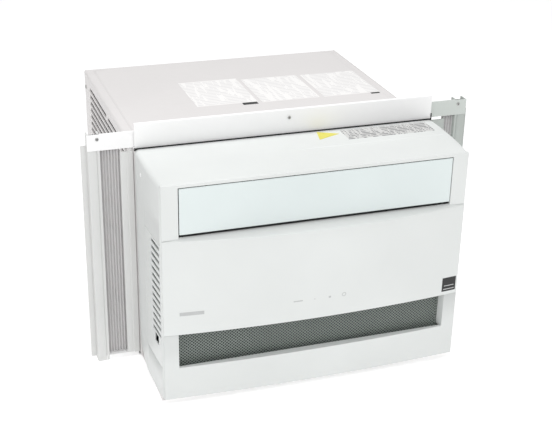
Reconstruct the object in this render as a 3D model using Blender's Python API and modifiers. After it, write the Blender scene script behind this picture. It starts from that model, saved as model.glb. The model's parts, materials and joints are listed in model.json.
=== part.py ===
"""Window air conditioner: a room-side cover with a swinging outlet flap, a pull-out filter, a louvred
cabinet on a base pan, side curtains that slide in two rails, and the whole cooling unit inside.

Metres, +Z up, +Y towards the outdoor side. The origin is on the supporting surface, under the middle
of the whole unit. A distance called a depth is measured backwards from the flat face of the bezel.
"""

import math

import bmesh
import bpy
from mathutils import Matrix, Vector

# Overall sizes
CABINET_WIDTH = 0.4806
CABINET_TOP = 0.3586
FACE_TO_REAR = 0.5583
PANEL_BOW = 0.020

# Walls and clearances
SHEET = 0.0012
PLASTIC = 0.0025
GAP = 0.0005
RUNNING_GAP = 0.0016
HOLE_GAP = 0.0004

# Base pan
PAN_FLOOR = 0.004
PAN_RIM = 0.033
PAN_FRONT = 0.012
RUNNER_WIDTH = 0.020
RUNNER_SPACING = 0.300
RUNNER_FRONT = 0.200
RUNNER_END_MARGIN = 0.028

# Cover, bezel and fascias
FACE_WIDTH = 0.473
FACE_TOP = 0.359
FACE_BOTTOM = 0.012
COVER_DEPTH = 0.138
COVER_FLARE = 0.0040
COVER_BULGE = 0.0020
COVER_RISE = 0.0034
COVER_CROWN = 0.0012
COVER_CORNER = 0.007
BEZEL_DEPTH = 0.006
BEZEL_RECESS = 0.004
BEZEL_EDGE = 0.002
OUTLET_MARGIN = 0.0055
STILE_WIDTH = 0.025
LEDGE_DROP = 0.003
LEDGE_SLOPE = 0.0025
PANEL_FOOT_BOW = 0.0125
PANEL_BOTTOM = 0.1215
FASCIA_BOW = 0.0085
MESH_BOTTOM = 0.0574
MESH_RECESS = 0.013
MESH_BOW = 0.005
FASCIA_LIP = 0.0078
MESH_THICKNESS = 0.002
MESH_MARGIN = 0.0235
MESH_SLOTS = 24

# Outlet flap and air vanes
FLAP_HEIGHT = 0.0703
FLAP_THICKNESS = 0.003
FLAP_FOOT_GAP = 0.0047
PIVOT_DEPTH = 0.0105
PIVOT_RISE = 0.005
PIN_RADIUS = 0.0018
PIN_LENGTH = 0.0075
BEARING_WIDTH = 0.006
BEARING_HEIGHT = 0.014
DUCT_FRONT = 0.0165
DUCT_WALL = 0.002
VANE_COUNT = 6
VANE_SPACING = 0.066
VANE_THICKNESS = 0.0016
VANE_PIVOT_DEPTH = 0.036
VANE_FRONT = 0.016
VANE_BACK = 0.018
VANE_CRANK = 0.014
LINK_DROP = 0.007
LINK_WIDTH = 0.007
LINK_THICKNESS = 0.003

# Filter
FILTER_DEPTH = 0.026
FILTER_THICKNESS = 0.004
FILTER_BAR = 0.006
FILTER_COLUMNS = 8
FILTER_ROWS = 3
DOOR_FRONT = 0.008
DOOR_WIDTH = 0.075
DOOR_BOTTOM = 0.064
DOOR_TOP_GAP = 0.0115
VENT_COUNT = 13
VENT_PITCH = 0.0117
VENT_LENGTH = 0.052
VENT_HEIGHT = 0.0055
GRIP_LENGTH = 0.030
GRIP_HEIGHT = 0.009

# Cooling unit
COIL_THICKNESS = 0.032
COIL_TO_FILTER = 0.010
COIL_SIDE_ROOM = 0.034
RING_THICKNESS = 0.0025
BULKHEAD_BEHIND_COVER = 0.032
ROTOR_X = -0.060
BLOWER_ROOM = 0.026
BLOWER_BLADES = 20
BLOWER_BLADE = 0.018
SCROLL_START_GAP = 0.006
SCROLL_END_GAP = 0.0215
SHAFT_RADIUS = 0.005
MOTOR_RADIUS = 0.048
MOTOR_LENGTH = 0.085
FAN_BLADES = 5
FAN_WIDTH = 0.036
FAN_PAN_GAP = 0.026
SLINGER_WIDTH = 0.006
CONDENSER_THICKNESS = 0.036
CONDENSER_REAR_GAP = 0.016
FAN_TO_CONDENSER = 0.034
SHROUD_LIP = 0.005
COMPRESSOR_RADIUS = 0.055
COMPRESSOR_HEIGHT = 0.200
COMPRESSOR_FOOT = 0.010
COMPRESSOR_WALL_GAP = 0.030
ACCUMULATOR_RADIUS = 0.021
ACCUMULATOR_HEIGHT = 0.120
PIPE_RADIUS = 0.004
SUCTION_RADIUS = 0.005
CAPILLARY_RADIUS = 0.0015
PIPE_LANE = 0.021
PIPE_BEND = 0.010

# Cabinet louvres and rear grille
LOUVRE_COUNT = 22
LOUVRE_PITCH = 0.012
LOUVRE_HEIGHT = 0.0055
LOUVRE_FRONT = 0.205
LOUVRE_REAR_MARGIN = 0.051
LOUVRE_TOP_MARGIN = 0.0206
CABINET_BOTTOM = 0.008
GRILLE_DEPTH = 0.006
GRILLE_GAP = 0.002
GRILLE_FRAME = 0.018
GRILLE_BARS = 13
GRILLE_BAR = 0.003

# Rails and curtains
RAIL_FRONT = 0.142
RAIL_HEIGHT = 0.042
RAIL_LIP = 0.012
RAIL_SPAN = 0.0325
BOTTOM_RAIL_SHEET = 0.0007
CURTAIN_FRONT = 0.1547
CURTAIN_DEPTH = 0.0163
CURTAIN_REACH = 0.068
CURTAIN_MEMBER = 0.0187
CURTAIN_WALL = 0.002
CURTAIN_FIN = 0.0083
CURTAIN_FIN_THICKNESS = 0.004
CURTAIN_BAR_HEIGHT = 0.0245
CURTAIN_BAR_MEET = 0.018
CURTAIN_FOOT = 0.0014
CURTAIN_FOOT_HEIGHT = 0.0086
RETAINER_WIDTH = {"left": 0.0195, "right": 0.0315}
PLEATS = 4
PLEAT_DEPTH = 0.010
PLEAT_SHEET = 0.0010
SCREW_HEAD_RADIUS = 0.004
SCREW_HEAD_HEIGHT = 0.002
SCREW_SHANK_RADIUS = 0.0016
SCREW_LENGTH = 0.009

# Electrics
CONTROL_BOX = (0.130, 0.055, 0.085)
BOARD_THICKNESS = 0.0016
CAPACITOR_RADIUS = 0.017
DISPLAY_BOARD = (0.120, 0.030)
DISPLAY_HEIGHT = 0.150
GLAND_RADIUS = 0.009

# Places worked out from the sizes above
FACE_Y = PANEL_BOW - (FACE_TO_REAR + PANEL_BOW) / 2
HALF_CABINET = CABINET_WIDTH / 2
HALF_FACE = FACE_WIDTH / 2
HALF_INSIDE = HALF_CABINET - SHEET
HALF_PAN = HALF_INSIDE - GAP
PAN_TOP = PAN_FLOOR + SHEET
HALF_OPENING = HALF_FACE - STILE_WIDTH
OUTLET_TOP = FACE_TOP - OUTLET_MARGIN
FLAP_TOP = OUTLET_TOP - RUNNING_GAP
FLAP_BOTTOM = FLAP_TOP - FLAP_HEIGHT
PANEL_TOP = FLAP_BOTTOM - FLAP_FOOT_GAP
OUTLET_BOTTOM = PANEL_TOP - LEDGE_SLOPE - 2 * RUNNING_GAP
PIVOT_Z = FLAP_BOTTOM + PIVOT_RISE
DUCT_FLOOR = OUTLET_BOTTOM - DUCT_WALL
DUCT_TOP = OUTLET_TOP + DUCT_WALL
HALF_MESH = HALF_FACE - MESH_MARGIN
COVER_BOTTOM = PAN_RIM + GAP
COIL_FRONT = FILTER_DEPTH + FILTER_THICKNESS + COIL_TO_FILTER
COIL_BOTTOM = PAN_RIM + 0.010
COIL_TOP = DUCT_FLOOR - 0.006
RING_DEPTH = COIL_FRONT + COIL_THICKNESS + 0.004
BULKHEAD_DEPTH = COVER_DEPTH + BULKHEAD_BEHIND_COVER
AXIS_Z = (COIL_BOTTOM + DUCT_FLOOR) / 2 + 0.002
BLOWER_RADIUS = (DUCT_FLOOR - COIL_BOTTOM) / 2 - BLOWER_ROOM
BLOWER_FRONT = RING_DEPTH + RING_THICKNESS + 0.004
BLOWER_BACK = BULKHEAD_DEPTH - 0.008
CONDENSER_FRONT = FACE_TO_REAR - CONDENSER_REAR_GAP - CONDENSER_THICKNESS
FAN_BACK = CONDENSER_FRONT - FAN_TO_CONDENSER
FAN_FRONT = FAN_BACK - FAN_WIDTH
FAN_RADIUS = AXIS_Z - PAN_TOP - FAN_PAN_GAP
SHROUD_DEPTH = FAN_FRONT - SHROUD_LIP
MOTOR_FRONT = (BULKHEAD_DEPTH + SHROUD_DEPTH) / 2 - MOTOR_LENGTH / 2
COMPRESSOR_X = HALF_INSIDE - COMPRESSOR_WALL_GAP - COMPRESSOR_RADIUS
COMPRESSOR_DEPTH = (BULKHEAD_DEPTH + SHROUD_DEPTH) / 2
COMPRESSOR_BOTTOM = PAN_TOP + COMPRESSOR_FOOT
COMPRESSOR_TOP = COMPRESSOR_BOTTOM + COMPRESSOR_HEIGHT
PIPE_X = HALF_INSIDE - PIPE_LANE
SHROUD_RIGHT = PIPE_X - 0.014
CONDENSER_RIGHT = PIPE_X - 0.012
COIL_HALF_WIDTH = HALF_CABINET - COIL_SIDE_ROOM - COVER_FLARE
RAIL_FLOOR = CABINET_TOP + GAP + SHEET / 2
CURTAIN_TOP = RAIL_FLOOR + SHEET / 2 + GAP + CURTAIN_BAR_HEIGHT
BAR_BOTTOM = CURTAIN_TOP - CURTAIN_BAR_HEIGHT
FOOT_TOP = CURTAIN_FOOT + CURTAIN_FOOT_HEIGHT
RETAINER_INNER = HALF_CABINET + GAP
RETAINER_OUTER = {word: RETAINER_INNER + width for word, width in RETAINER_WIDTH.items()}
CURTAIN_OUTER = HALF_CABINET + CURTAIN_REACH
MEMBER_INNER = CURTAIN_OUTER - CURTAIN_MEMBER

FINISHES = {
    "cover_white": ((0.84, 0.86, 0.85), 0.38, 0.0),
    "flap_white": ((0.82, 0.87, 0.88), 0.22, 0.0),
    "cabinet_white": ((0.86, 0.84, 0.83), 0.45, 0.0),
    "rail_white": ((0.90, 0.90, 0.89), 0.40, 0.0),
    "mesh_grey": ((0.12, 0.13, 0.13), 0.55, 0.0),
    "pleat_grey": ((0.20, 0.21, 0.22), 0.60, 0.0),
    "inner_black": ((0.06, 0.06, 0.06), 0.60, 0.0),
    "duct_white": ((0.72, 0.74, 0.74), 0.60, 0.0),
    "filter_frame": ((0.35, 0.38, 0.40), 0.60, 0.0),
    "galvanised": ((0.58, 0.60, 0.61), 0.42, 0.9),
    "fin_aluminium": ((0.72, 0.73, 0.74), 0.35, 1.0),
    "copper": ((0.72, 0.38, 0.24), 0.32, 1.0),
    "compressor_black": ((0.03, 0.03, 0.03), 0.40, 0.2),
    "board_green": ((0.05, 0.22, 0.11), 0.45, 0.0),
    "rubber_black": ((0.03, 0.03, 0.03), 0.80, 0.0),
    "screw_steel": ((0.55, 0.55, 0.54), 0.35, 1.0),
}


def clear_scene():
    for obj in list(bpy.data.objects):
        bpy.data.objects.remove(obj)


def make_material(name, colour, roughness, metallic):
    material = bpy.data.materials.new(name)
    material.use_nodes = True
    shader = material.node_tree.nodes["Principled BSDF"]
    shader.inputs["Base Color"].default_value = (*colour, 1.0)
    shader.inputs["Roughness"].default_value = roughness
    shader.inputs["Metallic"].default_value = metallic
    return material


def make_collection(name):
    collection = bpy.data.collections.new(name)
    bpy.context.scene.collection.children.link(collection)
    return collection


clear_scene()
PARTS = make_collection("window_air_conditioner")
CUTTERS = make_collection("cutters")
CUTTERS.hide_render = True
MATERIALS = {name: make_material(name, *finish) for name, finish in FINISHES.items()}


def point(x, depth, z):
    """A place given as sideways, behind the face, and above the surface."""
    return Vector((x, FACE_Y + depth, z))


def add_block(bm, low, high):
    """A box between two corners, each given as (x, depth, z)."""
    a = point(*low)
    b = point(*high)
    size = b - a
    place = Matrix.Translation((a + b) / 2) @ Matrix.Diagonal((*size, 1.0))
    bmesh.ops.create_cube(bm, size=1.0, matrix=place)
    return bm


def block(low, high):
    return add_block(bmesh.new(), low, high)


def add_rod(bm, start, end, radius, sides=16, end_radius=None):
    """A round bar, or a cone, between two places given as (x, depth, z)."""
    a = point(*start)
    b = point(*end)
    turn = (b - a).to_track_quat("Z", "Y").to_matrix().to_4x4()
    bmesh.ops.create_cone(
        bm,
        cap_ends=True,
        segments=sides,
        radius1=radius,
        radius2=radius if end_radius is None else end_radius,
        depth=(b - a).length,
        matrix=Matrix.Translation((a + b) / 2) @ turn,
    )
    return bm


def rod(start, end, radius, sides=16):
    return add_rod(bmesh.new(), start, end, radius, sides)


def link_mesh(name, bm, collection):
    mesh = bpy.data.meshes.new(name)
    bm.to_mesh(mesh)
    bm.free()
    obj = bpy.data.objects.new(name, mesh)
    collection.objects.link(obj)
    return obj


def make_part(name, bm, finish, origin=(0.0, 0.0, 0.0)):
    """A named part from a bmesh in world places. A moving part's origin is on its joint's axis."""
    obj = link_mesh(name, bm, PARTS)
    obj.data.transform(Matrix.Translation(-Vector(origin)))
    obj.location = origin
    obj.data.materials.append(MATERIALS[finish])
    return obj


def boolean(obj, operation, bm):
    other = link_mesh(obj.name + "." + operation.lower(), bm, CUTTERS)
    other.hide_render = True
    other.display_type = "WIRE"
    modifier = obj.modifiers.new(operation.lower(), "BOOLEAN")
    modifier.operation = operation
    modifier.object = other
    return obj


def cut(obj, *shapes):
    for shape in shapes:
        boolean(obj, "DIFFERENCE", shape)
    return obj


def join(obj, *shapes):
    for shape in shapes:
        boolean(obj, "UNION", shape)
    return obj


def bevel(obj, width, segments=2):
    modifier = obj.modifiers.new("bevel", "BEVEL")
    modifier.width = width
    modifier.segments = segments
    return obj


def solidify(obj, thickness, offset=-1.0):
    modifier = obj.modifiers.new("solidify", "SOLIDIFY")
    modifier.thickness = thickness
    modifier.offset = offset
    modifier.use_even_offset = True
    return obj


def smooth(obj, angle=35.0):
    obj.data.shade_smooth()
    obj.data.set_sharp_from_angle(angle=math.radians(angle))
    return obj


def strip(path, sweep):
    """An open surface: a line of points carried along a straight sweep."""
    bm = bmesh.new()
    corners = [bm.verts.new(place) for place in path]
    edges = [bm.edges.new(pair) for pair in zip(corners, corners[1:])]
    swept = bmesh.ops.extrude_edge_only(bm, edges=edges)
    moved = [item for item in swept["geom"] if isinstance(item, bmesh.types.BMVert)]
    bmesh.ops.translate(bm, verts=moved, vec=Vector(sweep))
    bmesh.ops.recalc_face_normals(bm, faces=bm.faces)
    return bm


def wrap_section(half_width, top, bottom, corner, steps=4):
    """The (x, z) places of a wall, a rounded corner, a top, a rounded corner and a wall."""
    right = [
        (
            half_width - corner + corner * math.cos(math.radians(90 * i / steps)),
            top - corner + corner * math.sin(math.radians(90 * i / steps)),
        )
        for i in range(steps + 1)
    ]
    left = [(-x, z) for x, z in reversed(right)]
    return [(half_width, bottom)] + right + left + [(-half_width, bottom)]


def wrapped_shell(sections):
    """An open surface through (depth, section) pairs, bent out of a flat grid."""
    across = len(sections[0][1]) - 1
    along = len(sections) - 1
    bm = bmesh.new()
    bmesh.ops.create_grid(bm, x_segments=across, y_segments=along, size=1.0)
    for vert in bm.verts:
        i = round((vert.co.x + 1) / 2 * across)
        j = round((vert.co.y + 1) / 2 * along)
        depth, section = sections[j]
        vert.co = point(section[i][0], depth, section[i][1])
    bmesh.ops.recalc_face_normals(bm, faces=bm.faces)
    roof = max(bm.faces, key=lambda face: face.calc_center_median().z)
    if roof.normal.z < 0:
        bmesh.ops.reverse_faces(bm, faces=bm.faces)
    return bm


def bowed_block(half_width, low, high, low_bow, high_bow, back, slope=0.0, drop=0.0, pieces=12):
    """A block with a flat back and a front that bows forwards, more or less at its top than its foot.

    The front top edge lies lower than the back one by the slope, and in its middle by the drop too."""
    bm = block((-half_width, 0.0, low), (half_width, back, high))
    long_edges = [e for e in bm.edges if abs(e.verts[0].co.x - e.verts[1].co.x) > half_width]
    bmesh.ops.subdivide_edges(bm, edges=long_edges, cuts=pieces - 1)
    for vert in bm.verts:
        fall = 1 - (vert.co.x / half_width) ** 2
        share = (vert.co.z - low) / (high - low)
        if vert.co.y < FACE_Y + back / 2:
            vert.co.y -= (low_bow + (high_bow - low_bow) * share) * fall
            vert.co.z -= (slope + drop * fall) * share
    return bm


def bowed_plate(half_width, low, high, front, thickness, bow, pieces=12):
    """A plate of even thickness that bows forwards in its middle."""
    bm = block((-half_width, front, low), (half_width, front + thickness, high))
    long_edges = [e for e in bm.edges if abs(e.verts[0].co.x - e.verts[1].co.x) > half_width]
    bmesh.ops.subdivide_edges(bm, edges=long_edges, cuts=pieces - 1)
    for vert in bm.verts:
        vert.co.y -= bow * (1 - (vert.co.x / half_width) ** 2)
    return bm


def rounded_path(corners, bend, steps=4):
    """Points along a run of straight stretches with a round bend at each corner."""
    path = [Vector(corners[0])]
    for before, corner, after in zip(corners, corners[1:], corners[2:]):
        corner = Vector(corner)
        into = corner + (Vector(before) - corner).normalized() * bend
        out = corner + (Vector(after) - corner).normalized() * bend
        for i in range(steps + 1):
            t = i / steps
            path.append(into * (1 - t) ** 2 + corner * 2 * t * (1 - t) + out * t**2)
    path.append(Vector(corners[-1]))
    return path


def make_pipe(name, path, radius, finish):
    curve = bpy.data.curves.new(name, "CURVE")
    curve.dimensions = "3D"
    curve.bevel_depth = radius
    curve.bevel_resolution = 2
    curve.use_fill_caps = True
    spline = curve.splines.new("POLY")
    spline.points.add(len(path) - 1)
    for target, place in zip(spline.points, path):
        target.co = (*place, 1.0)
    curve.materials.append(MATERIALS[finish])
    obj = bpy.data.objects.new(name, curve)
    PARTS.objects.link(obj)
    return obj


def make_base_pan():
    half_runner = RUNNER_WIDTH / 2
    rear = FACE_TO_REAR - 2 * SHEET
    pan = make_part(
        "base_pan",
        block((-HALF_PAN, PAN_FRONT, PAN_FLOOR), (HALF_PAN, rear, PAN_RIM)),
        "cabinet_white",
    )
    cut(
        pan,
        block(
            (-HALF_PAN + SHEET, PAN_FRONT + SHEET, PAN_TOP),
            (HALF_PAN - SHEET, rear - SHEET, PAN_RIM + SHEET),
        ),
    )
    for side in (-1, 1):
        x = side * RUNNER_SPACING / 2
        runner = block(
            (x - half_runner, RUNNER_FRONT, 0.0),
            (x + half_runner, FACE_TO_REAR - RUNNER_END_MARGIN, PAN_FLOOR + SHEET / 2),
        )
        join(pan, runner)


def make_cabinet():
    section = wrap_section(HALF_CABINET, CABINET_TOP, CABINET_BOTTOM, 0.004)
    front = COVER_DEPTH + GAP
    cabinet = make_part(
        "cabinet", wrapped_shell([(front, section), (FACE_TO_REAR, section)]), "cabinet_white"
    )
    solidify(cabinet, SHEET)
    slots = bmesh.new()
    top_row = CABINET_TOP - LOUVRE_TOP_MARGIN
    rear = FACE_TO_REAR - LOUVRE_REAR_MARGIN
    for row in range(LOUVRE_COUNT):
        z = top_row - row * LOUVRE_PITCH
        for side in (-1, 1):
            inner, outer = sorted((side * (HALF_INSIDE - SHEET), side * (HALF_CABINET + SHEET)))
            add_block(
                slots,
                (inner, LOUVRE_FRONT, z - LOUVRE_HEIGHT / 2),
                (outer, rear, z + LOUVRE_HEIGHT / 2),
            )
    cut(cabinet, slots)
    smooth(cabinet)


def make_rear_grille():
    front = FACE_TO_REAR - 2 * SHEET - GRILLE_DEPTH
    back = front + GRILLE_DEPTH
    low = PAN_RIM + GAP
    high = CABINET_TOP - SHEET - GRILLE_GAP
    half = HALF_INSIDE - GRILLE_GAP
    grille = make_part(
        "rear_grille", block((-half, front, low), (half, back, high)), "cabinet_white"
    )
    windows = bmesh.new()
    inner_low = low + GRILLE_FRAME
    inner_high = high - GRILLE_FRAME
    cell = (inner_high - inner_low + GRILLE_BAR) / GRILLE_BARS
    for i in range(GRILLE_BARS):
        bottom = inner_low + i * cell
        for side in (-1, 1):
            inner = side * GRILLE_BAR / 2
            outer = side * (half - GRILLE_FRAME)
            add_block(
                windows,
                (min(inner, outer), front - SHEET, bottom),
                (max(inner, outer), back + SHEET, bottom + cell - GRILLE_BAR),
            )
    cut(grille, windows)


def cover_half_width(share):
    return HALF_FACE + 0.0015 + COVER_FLARE * share + COVER_BULGE * 4 * share * (1 - share)


def make_front_cover():
    stations = []
    start = BEZEL_DEPTH + GAP
    for i in range(6):
        share = i / 5
        top = FACE_TOP + COVER_RISE * share + COVER_CROWN * 4 * share * (1 - share)
        section = wrap_section(cover_half_width(share), top, COVER_BOTTOM, COVER_CORNER)
        stations.append((start + (COVER_DEPTH - start) * share, section))
    cover = make_part("front_cover", wrapped_shell(stations), "cover_white")
    solidify(cover, PLASTIC)
    wall = HALF_FACE - 2 * PLASTIC
    far = HALF_FACE + COVER_FLARE + 4 * PLASTIC
    doorway = block(
        (-far, DOOR_FRONT - GAP, DOOR_BOTTOM - GAP),
        (-wall, DOOR_FRONT + DOOR_WIDTH + GAP, door_top() + GAP),
    )
    gland_z = COVER_BOTTOM + 2.5 * GLAND_RADIUS
    gland_depth = COVER_DEPTH - 2.5 * GLAND_RADIUS
    gland_hole = rod(
        (wall, gland_depth, gland_z), (far, gland_depth, gland_z), GLAND_RADIUS + HOLE_GAP
    )
    cut(cover, doorway, vent_slots(wall, far), gland_hole)
    smooth(cover)
    gland = make_part(
        "cord_gland",
        rod(
            (wall, gland_depth, gland_z),
            (HALF_FACE + COVER_FLARE + 2 * PLASTIC, gland_depth, gland_z),
            GLAND_RADIUS,
        ),
        "rubber_black",
    )
    bore = rod((0.5 * wall, gland_depth, gland_z), (far, gland_depth, gland_z), GLAND_RADIUS / 2)
    cut(gland, bore)


def door_top():
    return PANEL_TOP - DOOR_TOP_GAP


def vent_slots(inner, outer):
    """The stack of level slots in one side, through everything between two values of x."""
    slots = bmesh.new()
    low, high = min(inner, outer), max(inner, outer)
    first = door_top() - VENT_PITCH
    depth = DOOR_FRONT + 0.003
    for i in range(VENT_COUNT):
        z = first - i * VENT_PITCH
        add_block(
            slots,
            (low, depth, z - VENT_HEIGHT / 2),
            (high, depth + VENT_LENGTH, z + VENT_HEIGHT / 2),
        )
    return slots


def make_bezel():
    bezel = make_part(
        "front_bezel",
        block((-HALF_FACE, 0.0, FACE_BOTTOM), (HALF_FACE, BEZEL_DEPTH, FACE_TOP)),
        "cover_white",
    )
    bevel(bezel, BEZEL_EDGE)
    lower_step = block(
        (-FACE_WIDTH, -BEZEL_DEPTH, 0.0), (FACE_WIDTH, BEZEL_RECESS, PANEL_TOP + GAP)
    )
    outlet = block(
        (-HALF_OPENING, -BEZEL_DEPTH, OUTLET_BOTTOM), (HALF_OPENING, 2 * BEZEL_DEPTH, OUTLET_TOP)
    )
    intake = block(
        (-HALF_MESH - GAP, -BEZEL_DEPTH, MESH_BOTTOM - 2 * GAP),
        (HALF_MESH + GAP, 2 * BEZEL_DEPTH, PANEL_BOTTOM),
    )
    cut(bezel, lower_step, outlet, intake)


def make_front_panel():
    back = BEZEL_RECESS - GAP
    inner_half = HALF_FACE - PLASTIC
    panel = make_part(
        "front_panel",
        bowed_block(
            HALF_FACE,
            PANEL_BOTTOM,
            PANEL_TOP,
            PANEL_FOOT_BOW,
            PANEL_BOW,
            back,
            LEDGE_SLOPE,
            LEDGE_DROP,
        ),
        "cover_white",
    )
    hollow = bowed_block(
        inner_half,
        PANEL_BOTTOM + PLASTIC,
        PANEL_TOP - PLASTIC,
        PANEL_FOOT_BOW - PLASTIC,
        PANEL_BOW - PLASTIC,
        2 * back,
        LEDGE_SLOPE,
        LEDGE_DROP,
    )
    bmesh.ops.translate(hollow, verts=hollow.verts, vec=(0, back - GAP, 0))
    cut(panel, hollow)
    smooth(panel, 20)


def make_lower_fascia():
    back = BEZEL_RECESS - GAP
    fascia = make_part(
        "lower_fascia",
        bowed_block(
            HALF_FACE, FACE_BOTTOM, PANEL_BOTTOM - GAP, FASCIA_BOW, FASCIA_BOW, back
        ),
        "cover_white",
    )
    opening = block(
        (-HALF_MESH, -2 * FASCIA_BOW, MESH_BOTTOM + FASCIA_LIP),
        (HALF_MESH, 2 * back, PANEL_BOTTOM + GAP),
    )
    cut(fascia, opening)
    smooth(fascia, 20)


def make_intake_grille():
    """A slotted plate set back behind the opening in the fascia, with a shallower bow."""
    high = PANEL_BOTTOM - GAP
    half = HALF_MESH - GAP
    low = MESH_BOTTOM + GAP
    back = MESH_RECESS + MESH_THICKNESS
    grille = make_part(
        "intake_grille",
        bowed_plate(half, low, high, MESH_RECESS, MESH_THICKNESS, MESH_BOW),
        "mesh_grey",
    )
    slots = bmesh.new()
    pitch = 2 * half / MESH_SLOTS
    for i in range(MESH_SLOTS):
        x = -half + (i + 0.5) * pitch
        add_block(
            slots,
            (x - pitch / 4, 0.0, low + 2 * MESH_THICKNESS),
            (x + pitch / 4, 2 * back, high - 2 * MESH_THICKNESS),
        )
    cut(grille, slots)


def make_outlet_flap():
    half = HALF_OPENING - RUNNING_GAP
    axis = point(0.0, PIVOT_DEPTH, PIVOT_Z)
    flap = make_part(
        "outlet_flap",
        block((-half, 0.0, FLAP_BOTTOM), (half, FLAP_THICKNESS, FLAP_TOP)),
        "flap_white",
        axis,
    )
    bevel(flap, 0.0008, 1)
    for side in (-1, 1):
        inner, outer = sorted((side * (half - 2 * FLAP_THICKNESS), side * (half - 0.0004)))
        ear = block(
            (inner, FLAP_THICKNESS / 2, FLAP_BOTTOM + 0.0012),
            (outer, PIVOT_DEPTH + PIN_RADIUS, PIVOT_Z + 2 * PIN_RADIUS),
        )
        pin = rod(
            (side * (half - FLAP_THICKNESS), PIVOT_DEPTH, PIVOT_Z),
            (side * (half + PIN_LENGTH), PIVOT_DEPTH, PIVOT_Z),
            PIN_RADIUS,
            12,
        )
        for shape in (ear, pin):
            bmesh.ops.translate(shape, verts=shape.verts, vec=-axis)
            join(flap, shape)
            flap.modifiers[-1].object.location = axis


def make_flap_bearings():
    """A bearing block at each end of the flap, with the flap's motor outside the right one."""
    low = PIVOT_Z - BEARING_HEIGHT / 2
    high = PIVOT_Z + BEARING_HEIGHT / 2
    front = BEZEL_DEPTH + GAP
    back = DUCT_FRONT - GAP
    for side, name in ((-1, "flap_bearing_left"), (1, "flap_bearing_right")):
        inner = side * (HALF_OPENING + RUNNING_GAP)
        outer = side * (HALF_OPENING + RUNNING_GAP + BEARING_WIDTH)
        bearing = make_part(
            name,
            block((min(inner, outer), front, low), (max(inner, outer), back, high)),
            "inner_black",
        )
        reach = 2 * BEARING_WIDTH
        cut(
            bearing,
            rod(
                (inner - side * reach, PIVOT_DEPTH, PIVOT_Z),
                (outer + side * reach, PIVOT_DEPTH, PIVOT_Z),
                PIN_RADIUS + HOLE_GAP,
                12,
            ),
        )
    motor_left = HALF_OPENING + RUNNING_GAP + BEARING_WIDTH + GAP
    motor_right = HALF_FACE - PLASTIC - 2 * GAP
    motor = make_part(
        "flap_motor",
        block((motor_left, front, low), (motor_right, front + 0.024, high + 0.012)),
        "galvanised",
    )
    bevel(motor, 0.002)


def make_outlet_duct():
    half = HALF_OPENING
    back = BULKHEAD_DEPTH - GAP
    duct = make_part(
        "outlet_duct",
        block(
            (-half - DUCT_WALL, DUCT_FRONT, DUCT_FLOOR), (half + DUCT_WALL, back, DUCT_TOP)
        ),
        "duct_white",
    )
    inside = block((-half, 0.0, OUTLET_BOTTOM), (half, back - DUCT_WALL, OUTLET_TOP))
    throat = block(
        (ROTOR_X - BLOWER_RADIUS, BLOWER_FRONT, DUCT_FLOOR - DUCT_WALL),
        (ROTOR_X + BLOWER_RADIUS, BLOWER_BACK + RUNNING_GAP, OUTLET_BOTTOM + DUCT_WALL),
    )
    pins = bmesh.new()
    for x in vane_places():
        add_rod(
            pins,
            (x, VANE_PIVOT_DEPTH, DUCT_FLOOR - DUCT_WALL),
            (x, VANE_PIVOT_DEPTH, DUCT_TOP + DUCT_WALL),
            PIN_RADIUS + HOLE_GAP,
            8,
        )
    cut(duct, inside, throat, pins)


def vane_places():
    middle = (VANE_COUNT - 1) / 2
    return [(i - middle) * VANE_SPACING for i in range(VANE_COUNT)]


def make_vane_mesh():
    """One vane about its own pivot: a plate with two pivot pins, and a crank pin in a notch behind."""
    low = OUTLET_BOTTOM + RUNNING_GAP
    high = OUTLET_TOP - RUNNING_GAP
    half = VANE_THICKNESS / 2
    notch = high - 2 * LINK_DROP
    vane = make_part(
        "vane_source",
        block(
            (-half, VANE_PIVOT_DEPTH - VANE_FRONT, low), (half, VANE_PIVOT_DEPTH + VANE_BACK, high)
        ),
        "inner_black",
    )
    clearance = block(
        (-LINK_WIDTH, VANE_PIVOT_DEPTH + LINK_WIDTH / 2, notch),
        (LINK_WIDTH, VANE_PIVOT_DEPTH + 2 * VANE_BACK, high + LINK_DROP),
    )
    cut(vane, clearance)
    pivot = rod(
        (0.0, VANE_PIVOT_DEPTH, DUCT_FLOOR + HOLE_GAP),
        (0.0, VANE_PIVOT_DEPTH, DUCT_TOP - HOLE_GAP),
        PIN_RADIUS,
        8,
    )
    crank = rod(
        (0.0, VANE_PIVOT_DEPTH + VANE_CRANK, notch - LINK_DROP),
        (0.0, VANE_PIVOT_DEPTH + VANE_CRANK, high - HOLE_GAP),
        0.0012,
        8,
    )
    join(vane, pivot, crank)
    graph = bpy.context.evaluated_depsgraph_get()
    mesh = bpy.data.meshes.new_from_object(vane.evaluated_get(graph))
    mesh.name = "vane"
    mesh.transform(Matrix.Translation(-point(0.0, VANE_PIVOT_DEPTH, 0.0)))
    for modifier in list(vane.modifiers):
        bpy.data.objects.remove(modifier.object)
    bpy.data.objects.remove(vane)
    return mesh


def make_vanes():
    mesh = make_vane_mesh()
    for number, x in enumerate(vane_places(), 1):
        vane = bpy.data.objects.new(f"vane_{number}", mesh)
        vane.location = point(x, VANE_PIVOT_DEPTH, 0.0)
        PARTS.objects.link(vane)


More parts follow.
